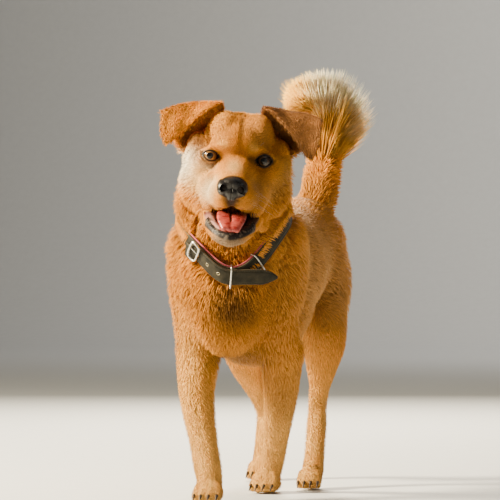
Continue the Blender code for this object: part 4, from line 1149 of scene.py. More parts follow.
def buildTufts(name, tufts, rings):
    # each tuft is a few three-cornered rings and a tip; all of them become one mesh
    roots, normals, ways = tufts["roots"], tufts["normals"], tufts["ways"]
    lengths, widths, lifts = tufts["lengths"], tufts["widths"], tufts["lifts"]
    count = len(roots)
    side = unit(np.cross(ways, normals))
    stride = rings * 3 + 1
    points = np.empty((count, stride, 3))
    lock = np.empty((count, stride, 3), np.float32)      # across, along and a number by chance
    lock[:, :, 2] = tufts["chance"][:, None]
    flat, high = np.cos(lifts), np.sin(lifts)
    sway, sag = tufts["sway"], tufts["sag"]

    def centreAt(share):
        rise = high * (1.55 * share - 0.55 * share ** 2)
        sunk = 0.0007 * (1 - share)
        return (roots + ways * (lengths * share * flat)[:, None] + normals * (lengths * rise - sunk)[:, None]
                + side * (sway * lengths * share ** 2)[:, None]
                + np.array((0, 0, -1.0)) * (sag * lengths * share ** 2)[:, None])

    for ring, (share, wide) in enumerate(zip(ringShares[rings], ringWidths[rings])):
        centre = centreAt(share)
        half = (widths * wide / 2)[:, None]
        points[:, ring * 3] = centre - side * half
        points[:, ring * 3 + 1] = centre + side * half
        points[:, ring * 3 + 2] = centre + normals * half * coatSettings["thick"]
        for corner, across in enumerate((0.0, 1.0, 0.5)):
            lock[:, ring * 3 + corner, :2] = across, share
    points[:, -1] = centreAt(1.0)
    lock[:, -1, :2] = 0.5, 1.0

    faces = [(0, 1, 2)]
    for ring in range(rings - 1):
        a, b = ring * 3, ring * 3 + 3
        faces += [(a, b, b + 1, a + 1), (a + 1, b + 1, b + 2, a + 2), (a + 2, b + 2, b, a)]
    a, tip = (rings - 1) * 3, stride - 1
    faces += [(a, tip, a + 1), (a + 1, tip, a + 2), (a + 2, tip, a)]
    sizes = [len(face) for face in faces]
    pattern = np.array([corner for face in faces for corner in face], np.int32)
    starts = np.concatenate([[0], np.cumsum(sizes)[:-1]]).astype(np.int32)
    loops = (pattern[None] + (np.arange(count, dtype=np.int32) * stride)[:, None]).ravel()
    loopStarts = (starts[None] + (np.arange(count, dtype=np.int32) * len(pattern))[:, None]).ravel()

    mesh = bpy.data.meshes.new(name)
    mesh.vertices.add(count * stride)
    mesh.vertices.foreach_set("co", points.astype(np.float32).ravel())
    mesh.loops.add(len(loops))
    mesh.loops.foreach_set("vertex_index", loops)
    mesh.polygons.add(len(loopStarts))
    mesh.polygons.foreach_set("loop_start", loopStarts)
    mesh.update(calc_edges=True)
    made = bpy.data.objects.new(name, mesh)
    bpy.context.scene.collection.objects.link(made)

    along = lock[:, :, 1:2]
    tone = coatSettings["rootShade"] + (1 - coatSettings["rootShade"]) * ease(0.0, 0.45, along)
    tone = tone + (coatSettings["tipShade"] - 1) * ease(0.5, 1.0, along)
    tone = tone * (0.86 + 0.27 * lock[:, :, 2:3])
    colours = tufts["colours"][:, None, :]
    if "tipColours" in tufts:
        share = ease(0.22, 0.85, along)
        colours = colours * (1 - share) + tufts["tipColours"][:, None, :] * share
    colours = np.clip(colours * tone, 0.003, 0.95)
    addColours(made, colours.reshape(-1, 3))
    addValues(made, "lock", lock, "FLOAT_VECTOR")
    chart = np.empty((count, stride, 2), np.float32)
    chart[:] = tufts["charts"][:, None, :]
    chart += (lock[:, :, :2] - 0.5) * patch
    bake = mesh.uv_layers.new(name="OFBake")
    bake.data.foreach_set("uv", chart.reshape(-1, 2)[loops].ravel())
    mesh.materials.append(tufts["look"])
    return made


def spreadRoots(chosen, sizes, chance, fill):
    # evenly spread random spots over the chosen skin faces, as many as the field's cover asks
    dense = np.zeros(len(faceAreas))
    dense[chosen] = sizes[chosen, 2] * 1e6 / (sizes[chosen, 0] * sizes[chosen, 1] * 0.62)
    total = np.cumsum(faceAreas * dense * fill)
    marks = np.arange(int(total[-1])) + chance.random(int(total[-1]))
    faces = np.searchsorted(total, marks)
    faces = faces[faces < len(total)]
    first, second = chance.random(len(faces)), chance.random(len(faces))
    folded = first + second > 1
    first[folded], second[folded] = 1 - first[folded], 1 - second[folded]
    shares = np.stack([1 - first - second, first, second], 1)[:, :, None]
    roots = (skinPoints[corners[faces]] * shares).sum(1)
    normals = unit((skinNormals[corners[faces]] * shares).sum(1))
    gloss = (skinGloss[corners[faces]] * shares[:, :, 0]).sum(1)
    return faces, roots, normals, gloss


collarTree = treeOf(*(node for name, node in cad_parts.items() if name.startswith("collar")))


def chartOf(kind, roots, axis=None):
    # a plain unwrap of each part's own shape, round its own axis
    if kind == "head":
        local = toHead(roots) - np.array((0, 30, -20))
        turn = np.arctan2(local[:, 0], -local[:, 1]) / math.pi
        rise = np.arcsin(np.clip(local[:, 2] / np.linalg.norm(local, axis=1), -1, 1)) / math.pi * 2
        spot = np.stack([turn, rise], 1)
    elif kind == "ear":
        local = toHead(roots)
        spot = np.stack([local[:, 0], local[:, 2] - local[:, 1] * 0.4], 1)
    else:
        start, end = (np.array(spot, float) + np.array(moved) for spot in axis)
        way = unit((end - start)[None])[0]
        away = roots - start
        along = away @ way
        flat = away - along[:, None] * way
        east = unit(np.cross(way, np.array((0.31, 0.13, 0.94)))[None])[0]
        north = np.cross(way, east)
        spot = np.stack([np.arctan2(flat @ north, flat @ east) / math.pi, along], 1)
    low, high = spot.min(0), spot.max(0)
    return 0.01 + 0.98 * (spot - low) / np.maximum(high - low, 1e-6)


def plantCoat(name, chosen, rings, kind, axis=None, fill=1.0):
    # one piece of the coat, over the chosen faces of the skin; hair is cut short at the collar
    chance = np.random.default_rng(sum(ord(letter) * (index + 3) for index, letter in enumerate(name)))
    faces, roots, normals, gloss = spreadRoots(chosen, fieldSizes, chance, fill * coatSettings["fill"])
    local = toHead(roots)
    bare = (gloss > coatSettings["wet"]) | (noseReach(local) < coatSettings["noseGap"])
    bare |= roots[:, 2] < coatSettings["soleHeight"]
    for eye in eyes:
        nearLids = eyeOpening(local, eye) < coatSettings["lidGap"]
        bare |= nearLids & (local[:, 1] < 20) & (eyeDistance(local, eye) < 30)
    faces, roots, normals = faces[~bare], roots[~bare], normals[~bare]
    count = len(roots)
    ways, sizes = coatField(roots, owners[faces])
    lengths = sizes[:, 0] * 0.001 * (1 + coatSettings["lengthSpread"] * (chance.random(count) * 2 - 1))
    widths = sizes[:, 1] * 0.001 * coatSettings["slim"] * (0.8 + 0.4 * chance.random(count))
    ways = unit(ways - (ways * normals).sum(1, keepdims=True) * normals)
    sideways = np.cross(ways, normals)
    long = ease(0.006, 0.016, lengths)
    turn = (coatSettings["wayJitter"] * (chance.random(count) * 2 - 1)
            + coatSettings["clumpTurn"] * long * cloud(roots, coatSettings["clumpSize"], 21)
            + coatSettings["drift"] * cloud(roots, coatSettings["driftSize"], 22))
    ways = unit(ways * np.cos(turn)[:, None] + sideways * np.sin(turn)[:, None])
    lifts = np.empty(count)
    hidden = np.zeros(count, bool)
    for index in range(count):
        root, normal, length = Vector(roots[index]), Vector(normals[index]), lengths[index]
        depth = outline.ray_cast(root, normal, 0.03)[3]
        lift = (depth or 0.0015) / length
        lifts[index] = min(coatSettings["highLift"], max(coatSettings["lowLift"], lift))
        if kind == "neck":
            hidden[index] = collarTree.ray_cast(root, normal, coatSettings["collarReach"])[3] is not None
            if hidden[index]:
                continue
            ahead = (Vector(ways[index]) + normal * 0.25).normalized()
            hit = collarTree.ray_cast(root + normal * 0.001, ahead, length * 1.1)[3]
            if hit is not None:
                lengths[index] = max(coatSettings["shortest"], hit * 0.92)
    if kind == "ear":
        lifts = np.maximum(lifts, 0.14 + 0.16 * (sizes[:, 2] - 1.7))
    lifts = np.arcsin(np.clip(lifts * (0.85 + 0.4 * chance.random(count)), 0.04, 0.8))
    faces, roots, normals, ways, lengths, widths, lifts = (
        rows[~hidden] for rows in (faces, roots, normals, ways, lengths, widths, lifts))
    count = len(roots)
    onEar = np.isin(owners[faces], earNodes).astype(float)
    tufts = {
        "roots": roots, "normals": normals, "ways": ways,
        "lengths": lengths, "widths": widths, "lifts": lifts,
        "sway": 0.10 * (chance.random(count) * 2 - 1), "sag": np.zeros(count), "chance": chance.random(count),
        "colours": coatColour(roots + normals * 0.001, onEar), "charts": chartOf(kind, roots, axis),
        "look": furLook,
    }
    made = buildTufts(name, tufts, rings)
    print(name, count, "tufts", count * (6 * (rings - 1) + 4), "triangles")
    return made


fieldSizes = coatField(centres, owners)[1]


def partMask(*names):
    return np.isin(owners, [fleshNodes.index(name) for name in names])


localCentres = toHead(centres)
onFace = partMask("head", "jaw") & (localCentres[:, 1] < 34)
onSkull = partMask("head", "jaw") & ~onFace
trunk = partMask("belly", "chest")
ahead = centres[:, 1] - moved[1] < 0.105
frontHalf = centres[:, 1] - moved[1] < 0.055
leftHalf = centres[:, 0] > moved[0]
neckAxis = ((0.01, 0.06, 0.50), (0, 0.12, 0.33))
breastAxis = ((0, 0.05, 0.42), (0, 0.05, 0.18))
bodyAxis = ((0, 0.10, 0.32), (0, 0.50, 0.35))
coatPieces = [
    plantCoat("coatFace", onFace, 2, "head", fill=0.85),
    plantCoat("coatSkull", onSkull, 2, "head", fill=1.4),
    plantCoat("coatEars", partMask("ear_left", "ear_right"), 2, "ear", fill=0.72),
    plantCoat("coatRuff", partMask("neck") & frontHalf, 3, "neck", neckAxis, fill=2.2),
    plantCoat("coatNape", partMask("neck") & ~frontHalf, 3, "neck", neckAxis, fill=1.4),
    plantCoat("coatBreast", trunk & ahead, 3, "neck", breastAxis, fill=1.85),
    plantCoat("coatBodyLeft", trunk & ~ahead & leftHalf, 2, "body", bodyAxis, fill=1.15),
    plantCoat("coatBodyRight", trunk & ~ahead & ~leftHalf, 2, "body", bodyAxis, fill=1.15),
]
legAxes = {
    "right": {
        "fore": ((-0.02, 0.02, 0.0), (-0.06, 0.07, 0.3)),
        "hind": ((-0.066, 0.47, 0.0), (-0.06, 0.42, 0.4)),
    },
    "left": {
        "fore": ((0.02, 0.2, 0.0), (0.056, 0.12, 0.3)),
        "hind": ((0.058, 0.31, 0.0), (0.05, 0.40, 0.4)),
    },
}
legFill = {"fore": 0.60, "hind": 0.62}
for side, axes in legAxes.items():
    for part, axis in axes.items():
        chosen = partMask(f"{part}leg_{side}_upper", f"{part}leg_{side}_lower", f"{part}paw_{side}")
        title = "coat" + part.capitalize() + "leg" + side.capitalize()
        coatPieces.append(plantCoat(title, chosen, 2, "leg", axis, fill=legFill[part]))
tailAxis = ((0.004, 0.47, 0.40), (0.02, 0.52, 0.5))
coatPieces.append(plantCoat("coatTailBase", partMask("tail_base"), 3, "tail", tailAxis, fill=2.2))

plumeSettings = {
    "locks": 12300,
    "lean": 1.45,             # how far the locks lean towards the tail's tip
    "width": 0.0026,
    "sag": 0.03,
    "from": 0.36,             # where along the core the locks begin
    "narrow": 0.55,           # the fan is thinner from front to back
    "clump": 0.11,
    "shortest": 0.018,
    "longest": 0.115,
    "full": 0.60,             # share of locks that reach the outline
}
plumeTree = treeOf(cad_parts["tail_plume"])


def addPlume():
    # long locks that fan out from the tail's core to the outline of the plume
    chance = np.random.default_rng(77)
    count = int(plumeSettings["locks"] * (1))
    shares = plumeSettings["from"] + (1 - plumeSettings["from"]) * chance.random(count) ** 0.80
    angles = chance.random(count) * 2 * math.pi
    roots, ways, normals = np.empty((3, count, 3))
    reaches = np.empty(count)
    for index in range(count):
        share = shares[index]
        here, after, before = (curvePoint(tailCore, at) for at in (share, min(1, share + 0.02), share - 0.02))
        tangent = unit(after[:3] - before[:3])
        east = unit(np.cross(tangent, np.array((0.1, 1.0, 0.2))))
        north = np.cross(tangent, east)
        radial = east * math.cos(angles[index]) + north * math.sin(angles[index])
        atTip = ease(0.90, 1.0, share)
        lean = plumeSettings["lean"] * (1.5 - 0.75 * abs(math.cos(angles[index])))
        lean = lean + 0.5 * (chance.random() - 0.5) + atTip * 5 * chance.random() ** 2
        way = radial + tangent * lean
        way[1] *= plumeSettings["narrow"]
        way = unit(way)
        start = here[:3] + radial * here[3] * (0.75 - 0.45 * atTip * chance.random()) + np.array(moved)
        out = plumeTree.ray_cast(Vector(start + way * 0.25), Vector(-way))[0]
        reaches[index] = (out - Vector(start)).length if out else 0.015
        roots[index], ways[index] = start, way
        normals[index] = unit(np.cross(np.cross(way, radial) + 1e-6, way))
    long = chance.random(count) < plumeSettings["full"]
    full = 0.80 + 0.30 * chance.random(count)
    layer = np.where(long, full, 0.40 + 0.42 * chance.random(count))
    lengths = np.clip(reaches * layer * 1.12, plumeSettings["shortest"], plumeSettings["longest"])
    clump = np.stack([cloud(roots + ways * 0.03, 0.020, seed) for seed in (31, 32, 33)], 1)
    ways = unit(ways + plumeSettings["clump"] * clump)

    # where each lock's tip lies decides its tones: a dark middle, a pale outer edge, brown in front
    tips = roots + ways * lengths[:, None] - np.array(moved)
    aside = tips[:, 0] * 0.96 + tips[:, 1] * 0.28 - 0.160
    outer = ease(0.60, 0.85, layer)
    high = ease(0.585, 0.630, tips[:, 2])
    front = ease(-0.10, 0.35, -ways[:, 1]) * (1 - 0.8 * high)
    middle = (1 - ease(0.016, 0.042, np.abs(aside + 0.004))) * (1 - ease(0.535, 0.590, tips[:, 2]))
    pale = ease(0.0, 0.55, ways @ unit(np.array([(0.85, 0.30, 0.35)]))[0]) * ease(-0.010, 0.020, aside)
    pale = np.maximum(pale, high * ease(-0.050, 0.0, aside)) * (0.20 + 0.80 * outer)
    pale = pale * ease(0.42, 0.60, shares) * (1 - 0.95 * front) * (1 - 0.8 * middle)
    nearRoot = np.maximum(1 - 0.85 * ease(0.42, 0.80, shares), 0.8 * (1 - outer)) * (1 - 0.5 * high)
    stem = ends = plain("flame", count)
    for tone, share in (("core", nearRoot), ("brown", 0.75 * front),
                        ("umber", 0.60 * middle), ("cream", 0.45 * pale)):
        stem = mixIn(stem, tone, share)
    for tone, share in (("core", 0.8 * (1 - outer) * (1 - 0.6 * high)), ("brown", 0.60 * front),
                        ("umber", 0.60 * middle), ("cream", 0.60 * pale), ("white", 0.80 * pale)):
        ends = mixIn(ends, tone, share)
    upCore = (shares - plumeSettings["from"]) / (1 - plumeSettings["from"])
    charts = np.stack([angles / (2 * math.pi), upCore], 1)
    tufts = {
        "roots": roots, "normals": normals, "ways": ways, "lengths": lengths,
        "widths": plumeSettings["width"] * (0.7 + 0.6 * chance.random(count)),
        "lifts": 0.02 + 0.10 * chance.random(count), "sway": 0.12 * (chance.random(count) * 2 - 1),
        "sag": plumeSettings["sag"] * (0.4 + chance.random(count)), "chance": chance.random(count),
        "colours": stem, "tipColours": ends, "charts": 0.01 + 0.98 * charts, "look": plumeLook,
    }
    print("plume", count, "locks", count * 16, "triangles")
    return buildTufts("coatTailPlume", tufts, 3)


tailPlume = addPlume()

# eyes: ball and clear bulge in one, with the iris drawn by distance from the line of sight
eyeSettings = {"iris": 9.2, "pupil": 4.3, "cornea": 8.6, "bulge": 0.8}


def makeEye(name):
    spot = eyes[name]
    ball = addShape("uv_sphere", segments=64, ring_count=48, radius=1)
    ball.name = "eye" + name.capitalize()
    way = pointsOf(ball)
    way = np.stack([way[:, 0], -way[:, 2], way[:, 1]], 1)       # pole to the front
    off = eyeRadius * np.sqrt(np.clip(1 - way[:, 1] ** 2, 0, 1))
    ring = np.where(way[:, 1] < 0, off, 30.0)
    bulge = eyeSettings["bulge"] * np.sqrt(np.clip(1 - (ring / eyeSettings["cornea"]) ** 2, 0, 1))
    aside, rise = (math.radians(angle) for angle in spot["gaze"])
    gaze = Matrix.Rotation(aside, 3, "Z") @ Matrix.Rotation(rise, 3, "X")
    spots = (way * (eyeRadius + bulge * 0.7)[:, None]) @ np.array(gaze).T + np.array(spot["centre"])
    setPoints(ball, fromHead(spots))
    addValues(ball, "ring", ring)
    addValues(ball, "spoke", np.stack([way[:, 0], way[:, 2], 0 * off], 1), "FLOAT_VECTOR")
    return smoothShade(ball)


def eyeMaterial(name, iris, rim):
    coat = {"Coat Weight": 0.6, "Coat Roughness": 0.03, "Coat IOR": 1.45}
    made, tree, shader = startMaterial(name, 0.12, 0.25, coat)
    streaks = addNode(tree, "TexNoise", {"Scale": 14, "Detail": 3})
    outward = addNode(tree, "VectorMath", operation="NORMALIZE")
    tree.links.new(attribute(tree, "spoke", "Vector"), outward.inputs[0])
    tree.links.new(outward.outputs["Vector"], streaks.inputs["Vector"])
    pupil, edge = eyeSettings["pupil"] / 12, eyeSettings["iris"] / 12
    stops = [
        (0.0, (0.003, 0.003, 0.003)), (pupil, (0.003, 0.003, 0.003)),
        (pupil + 0.04, tuple(part * 1.1 for part in iris)), (0.42, iris),
        (edge - 0.035, rim), (edge + 0.02, (0.010, 0.007, 0.006)),
        (0.80, (0.030, 0.018, 0.014)), (1.0, (0.030, 0.015, 0.012)),
    ]
    colour = addRamp(tree, remap(tree, attribute(tree, "ring"), 0.0, 1.0, 0.0, 12.0), stops)
    shaded = tinted(tree, colour, remap(tree, streaks.outputs["Fac"], 0.70, 1.35))
    tree.links.new(shaded, shader.inputs["Base Color"])
    return made


# the left eye is the amber eye painted much darker: painted shade on the side away from the key lamp
irisLooks = {
    "right": eyeMaterial("amberEye", (0.24, 0.115, 0.038), (0.090, 0.040, 0.014)),
    "left": eyeMaterial("umberEye", (0.050, 0.028, 0.014), (0.018, 0.010, 0.006)),
}
eyeballs = {}
for name in eyes:
    eyeballs[name] = makeEye(name)
    dress(eyeballs[name], irisLooks[name])
print("eyes made")


# nose leather: two wings round comma-shaped nostrils and a groove down the middle
noseSettings = {"middle": -2.5, "voxel": 0.00055, "smooth": 12, "groove": 1.5}


def makeNose():
    middle = noseSettings["middle"]
    heap = Heap()

    def put(across, y, z, *radii):
        heap.ball((middle + across, y, z), radii, space="head")

    put(0, -56.5, -40.0, 19.5, 13.5, 12.0)
    put(0, -61, -38.5, 12.5, 9.5, 9.0)
    for side in (1, -1):
        put(12.4 * side, -59, -45.5, 9.2, 11.5, 11.2)
        put(15.5 * side, -54, -41, 6.0, 10.5, 8.4)
    put(0, -61.5, -50.5, 10.5, 8.5, 8.5)
    put(0, -60, -56.5, 7.0, 7.0, 6.5)
    made = addRemesh(heap.build("nose"), noseSettings["voxel"], noseSettings["smooth"])
    for side in (1, -1):
        hole = Heap()
        hole.tube(((middle + 11.8 * side, -76, -45.2, 5.2), (middle + 12.2 * side, -66, -45.6, 4.8),
                   (middle + 13.0 * side, -59, -45.0, 3.4)), space="head")
        hole.tube(((middle + 12.2 * side, -70, -47.5, 3.6), (middle + 17.5 * side, -65, -50.0, 2.3),
                   (middle + 21.5 * side, -58, -50.4, 1.6)), space="head")
        addBoolean(made, addRemesh(hole.build("nostril"), noseSettings["voxel"], 3), "DIFFERENCE")
    addSmooth(made, 3)
    local = toHead(pointsOf(made))
    groove = np.exp(-((local[:, 0] - middle) / 0.9) ** 2) * ease(-36, -45, local[:, 2])
    local[:, 1] += noseSettings["groove"] * groove
    setPoints(made, fromHead(local))
    return smoothShade(made)


def noseMaterial():
    stops = ((0, (0.004, 0.0035, 0.0033)), (1, (0.018, 0.014, 0.012)))
    coat = {"Coat Weight": 0.12, "Coat Roughness": 0.22}
    made = grainMaterial("noseLeather", 0.36, 0.35, (160, 3), stops, (0.24, 0.42), inputs=coat)
    tree = made.node_tree
    pebbles = addNode(tree, "TexVoronoi", {"Scale": 950})
    tree.links.new(addNode(tree, "TexCoord").outputs["Object"], pebbles.inputs["Vector"])
    addBump(tree, tree.nodes["Principled BSDF"], pebbles.outputs["Distance"], 0.45, 0.0004)
    return made


nosePiece = makeNose()
nosePiece.name = "noseLeather"
dress(nosePiece, noseMaterial())
print("nose made:", len(nosePiece.data.polygons), "faces")

tongueSettings = {
    "line": ((30, -88, 15), (10, -80, 19), (-12, -80, 21), (-32, -88, 19.5), (-46, -101, 12.5)),
    "ball": (3.6, 4.2, 3.4), "rim": 3.2, "shift": 0.6, "voxel": 0.0009, "smooth": 10, "groove": 2.6,
}


def makeTongue():
    # y, z and half width run along its line; across it dips a little, with a groove down the middle
    heap = Heap()
    shift = tongueSettings["shift"]
    for share in np.linspace(0, 1, 22):
        y, z, half = curvePoint(tongueSettings["line"], share)
        for across in np.linspace(-1, 1, 15):
            x = across * (half - tongueSettings["rim"])
            dip = -2.0 * (1 - abs(across)) ** 2 - 0.6 * across ** 4 + 0.9 * math.sin(share * 9 + across * 2)
            heap.ball((x + shift, y, z + dip), tongueSettings["ball"], space="head")
    made = addRemesh(heap.build("tongue"), tongueSettings["voxel"], tongueSettings["smooth"])
    local = toHead(pointsOf(made))
    top = ease(-0.1, 0.5, turnToHead(normalsOf(made))[:, 2])
    middle = 1.2 * np.sin(local[:, 1] * 0.09)
    groove = np.exp(-((local[:, 0] - shift - middle) / 1.3) ** 2) * ease(-43, -34, local[:, 1])
    local[:, 2] -= tongueSettings["groove"] * groove * top
    setPoints(made, fromHead(local))
    # painted shade: the tongue darkens in its groove and towards the back of the mouth
    addValues(made, "groove", np.maximum(groove, 0.9 * ease(-30, 6, local[:, 1])))
    return smoothShade(made)


def tongueMaterial():
    made, tree, shader = startMaterial("wetTongue", 0.28, 0.5, {
        "Subsurface Weight": 0.10, "Subsurface Radius": (0.006, 0.002, 0.0015),
        "Coat Weight": 0.35, "Coat Roughness": 0.18,
    })
    patchy = objectNoise(tree, 120, 3, 0.6)
    base = addRamp(tree, patchy, ((0.35, (0.30, 0.022, 0.020)), (0.65, (0.58, 0.098, 0.075))))
    # painted shade in the groove and at the back
    shaded = tinted(tree, base, remap(tree, attribute(tree, "groove"), 1.0, 0.16, 0.0, 0.8))
    tree.links.new(shaded, shader.inputs["Base Color"])
    tree.links.new(remap(tree, patchy, 0.20, 0.38), shader.inputs["Roughness"])
    addBump(tree, shader, objectNoise(tree, 1300, 2, 0.6), 0.3, 0.0005)
    return made


tonguePiece = makeTongue()
tonguePiece.name = "tonguePiece"
dress(tonguePiece, tongueMaterial())
print("tongue made")

# claws: one is modelled, the rest are copies set over the solids' places
clawSettings = {
    "root": 0.0023, "tip": 0.0005, "length": 0.0125, "bend": 0.0030,
    "floor": -0.0016, "droop": 24, "lowest": 0.0012, "shift": (0, 0.0005, 0.0010),
}


def makeClaw():
    length, bend = clawSettings["length"], clawSettings["bend"]
    made = addShape(
        "cone", vertices=14, radius1=clawSettings["root"], radius2=clawSettings["tip"], depth=length,
        location=(0, 0, 0), rotation=(math.radians(90), 0, 0))
    makeActive(made)
    bpy.ops.object.transform_apply(location=False, rotation=True, scale=False)
    bpy.ops.object.mode_set(mode="EDIT")
    for share in np.linspace(-0.42, 0.42, 7):
        bpy.ops.mesh.select_all(action="SELECT")
        bpy.ops.mesh.bisect(plane_co=(0, share * length, 0), plane_no=(0, 1, 0))
    bpy.ops.object.mode_set(mode="OBJECT")
    faceOutwards(made)
    points = pointsOf(made)
    out = (length / 2 - points[:, 1]) / length      # 0 at the toe, 1 at the tip
    points[:, 2] *= 1.25
    points[:, 2] -= bend * out ** 2
    points[:, 2] = np.maximum(points[:, 2], clawSettings["floor"] - bend * out ** 2)
    setPoints(made, points)
    return made


def placeClaws():
    mould = makeClaw()
    copies = []
    for name in sorted(clawNodes):
        low, high = (np.array(corner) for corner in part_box(name))
        leg, side = name[5:-2].split("_")
        turned = math.radians(paws[leg + side.capitalize()]["turn"])
        turn = Matrix.Rotation(turned, 3, "Z") @ Matrix.Rotation(math.radians(clawSettings["droop"]), 3, "X")
        copy = mould.copy()
        copy.data = mould.data.copy()
        bpy.context.scene.collection.objects.link(copy)
        spots = pointsOf(copy) @ np.array(turn).T + (low + high) / 2 + np.array(clawSettings["shift"])
        spots[:, 2] = np.maximum(spots[:, 2], clawSettings["lowest"])
        setPoints(copy, spots)
        copies.append(copy)
    bpy.data.objects.remove(mould)
    makeActive(copies[0])
    for copy in copies:
        copy.select_set(True)
    bpy.ops.object.join()
    joined = bpy.context.object
    joined.name = "claws"
    return smoothShade(joined)


clawNodes = [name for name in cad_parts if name.startswith("claw")]
clawPiece = placeClaws()
horn = ((0.35, (0.018, 0.012, 0.010)), (0.72, (0.105, 0.070, 0.045)))
hornGrain = (240, 3, 0.55, (1, 0.25, 1))
dress(clawPiece, grainMaterial("darkHorn", 0.38, 0.5, hornGrain, horn, (0.30, 0.50), (0.3, 0.0003)))
print("claws made")

# the collar: a leather band, its red lining, the loose end and the metal, all on the solids' own line
collarSettings = {
    "half": 0.0115, "thick": 0.0032, "liningThick": 0.0014, "liningLip": 0.0018,
    "steps": 170, "stitchEvery": 0.0034, "stitchInset": 0.0019,
    "eyelets": (0.008, 0.029, 0.050, 0.071), "eyelet": 0.0021, "tip": 0.026, "buckleShift": -0.010,
}
bandAxis = np.array((0.0, 0.060, 0.0)) + np.array(moved)
bandLean = np.array((0.0, -0.35, 0.94))


def edgeRows(name):
    # both ends of every edge of a solid
    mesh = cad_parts[name].data
    ends = np.empty(len(mesh.edges) * 2, np.int32)
    mesh.edges.foreach_get("vertices", ends)
    spots = np.array([vertex.co for vertex in mesh.vertices])
    return spots[ends.reshape(-1, 2)]


def sectionCentre(rows, point, normal, ahead=None):
    # the middle of a solid where a plane cuts it
    side = (rows - point) @ normal
    crossing = side[:, 0] * side[:, 1] < 0
    rows, side = rows[crossing], side[crossing]
    spots = rows[:, 0] + (rows[:, 1] - rows[:, 0]) * (side[:, 0] / (side[:, 0] - side[:, 1]))[:, None]
    if ahead is not None:
        spots = spots[(spots - point) @ ahead > 0]
    return (spots.min(0) + spots.max(0)) / 2 if len(spots) > 3 else None


def evenLine(line, count, closed, rounds):
    # smooths a line, then sets even steps along it; also gives the run at each step
    line = np.array(line)
    for _ in range(rounds):
        if closed:
            line = (np.roll(line, 1, 0) + 2 * line + np.roll(line, -1, 0)) / 4
        else:
            line[1:-1] = (line[:-2] + 2 * line[1:-1] + line[2:]) / 4
    if closed:
        line = np.concatenate([line, line[:1]])
    run = np.concatenate([[0], np.cumsum(np.linalg.norm(np.diff(line, axis=0), axis=1))])
    marks = np.linspace(0, run[-1], count + 1)[:-1] if closed else np.linspace(0, run[-1], count)
    return np.stack([np.interp(marks, run, line[:, k]) for k in range(3)], 1), marks


def bandFrame(line, closed):
    # the ways along, outwards and up at each spot of the band
    along = unit(np.roll(line, -1, 0) - np.roll(line, 1, 0) if closed else np.gradient(line, axis=0))
    up = unit(bandLean - along * (along @ bandLean)[:, None])
    out = unit(np.cross(up, along))
    outwards = np.median(np.sign((out * (line - bandAxis) * (1, 1, 0)).sum(1)))
    return along, out * (1 if outwards > 0 else -1), up


def bandSection(half, inner, outer, groove):
    # counter-clockwise round the band, as (outwards, upwards)
    rounding = min(0.0009, (outer - inner) * 0.32)
    marks = np.array((-1, -0.90, -0.84, -0.80, -0.5, 0, 0.5, 0.80, 0.84, 0.90, 1)) * (half - rounding)
    crown = outer + 0.00025 * (1 - (marks / half) ** 2)
    crown -= groove * np.isin(np.arange(11), (2, 8))
    face = [(depth, mark) for depth, mark in zip(crown, marks)]
    inset = rounding * 0.3
    low = [(inner + inset, -half + inset), (inner + rounding, -half), (outer - rounding, -half),
           (outer - inset, -half + inset)]
    high = [(depth, -mark) for depth, mark in low[::-1]]
    back = [(inner, half - rounding), (inner, 0.0), (inner, -half + rounding)]
    return np.array(low + face + high + back)


def sweepBand(name, line, marks, section, closed, widths=None):
    along, out, up = bandFrame(line, closed)
    widths = np.ones(len(line)) if widths is None else widths
    points = (line[:, None, :] + out[:, None, :] * section[None, :, 0:1]
              + up[:, None, :] * section[None, :, 1:2] * widths[:, None, None])
    count, wide = points.shape[:2]
    faces = []
    for row in range(count if closed else count - 1):
        here, after = row * wide, (row + 1) % count * wide
        for k in range(wide):
            beside = (k + 1) % wide
            faces.append((here + k, here + beside, after + beside, after + k))
    if not closed:
        faces += [tuple(range(wide - 1, -1, -1)), tuple((count - 1) * wide + k for k in range(wide))]
    made = smoothShade(faceOutwards(newMesh(name, points.reshape(-1, 3), faces)))
    across = np.tile(section[:, 1] / np.abs(section[:, 1]).max(), count)
    outer = np.tile((section[:, 0] > section[:, 0].mean()).astype(float), count)
    addValues(made, "band", np.stack([np.repeat(marks, wide), across, outer], 1), "FLOAT_VECTOR")
    return made


rows = edgeRows("collar_strap")
ring = []
for turn in np.linspace(0, 2 * math.pi, 97)[:-1]:
    way = np.array((math.cos(turn), math.sin(turn), 0))
    spot = sectionCentre(rows, bandAxis, np.array((-way[1], way[0], 0)), way)
    if spot is not None:
        ring.append(spot)
strapLine, strapMarks = evenLine(ring, collarSettings["steps"], True, 6)
rows = edgeRows("collar_free_end")
low, high = rows.reshape(-1, 3).min(0), rows.reshape(-1, 3).max(0)
stops = []
for x in np.linspace(low[0] + 0.0015, high[0] - 0.0006, 60):
    spot = sectionCentre(rows, np.array((x, 0, 0)), np.array((1.0, 0, 0)))
    if spot is not None:
        stops.append(spot)
# the loose end starts a little further back, where it leaves the buckle
backwards = np.argsort(np.linalg.norm(strapLine - stops[0], axis=1))[0]
nearby = [strapLine[(backwards + shift) % len(strapLine)] for shift in (-3, 3)]
before, after = (np.linalg.norm(spot - stops[4]) for spot in nearby)
step = 1 if before < after else -1
gap = stops[0] - strapLine[backwards]
stops = [strapLine[(backwards + step * index) % len(strapLine)] + gap for index in (4, 2)] + stops
endLine, endMarks = evenLine(stops, 76, False, 5)
half, halfThick, lip = collarSettings["half"], collarSettings["thick"] / 2, collarSettings["liningLip"] / 2
strapSection = bandSection(half, -halfThick, halfThick, 0.0004)
liningBack = -halfThick - 0.0002 - collarSettings["liningThick"]
liningSection = bandSection(half + lip, liningBack, -halfThick - 0.0001, 0.0) + np.array((0, lip))
strap = sweepBand("strap", strapLine, strapMarks, strapSection, True)
lining = sweepBand("strapLining", strapLine, strapMarks, liningSection, True)
taper = np.clip((endMarks[-1] - endMarks) / collarSettings["tip"], 0, 1)
pointed = 0.10 + 0.90 * np.sin(taper * math.pi / 2) ** 0.85
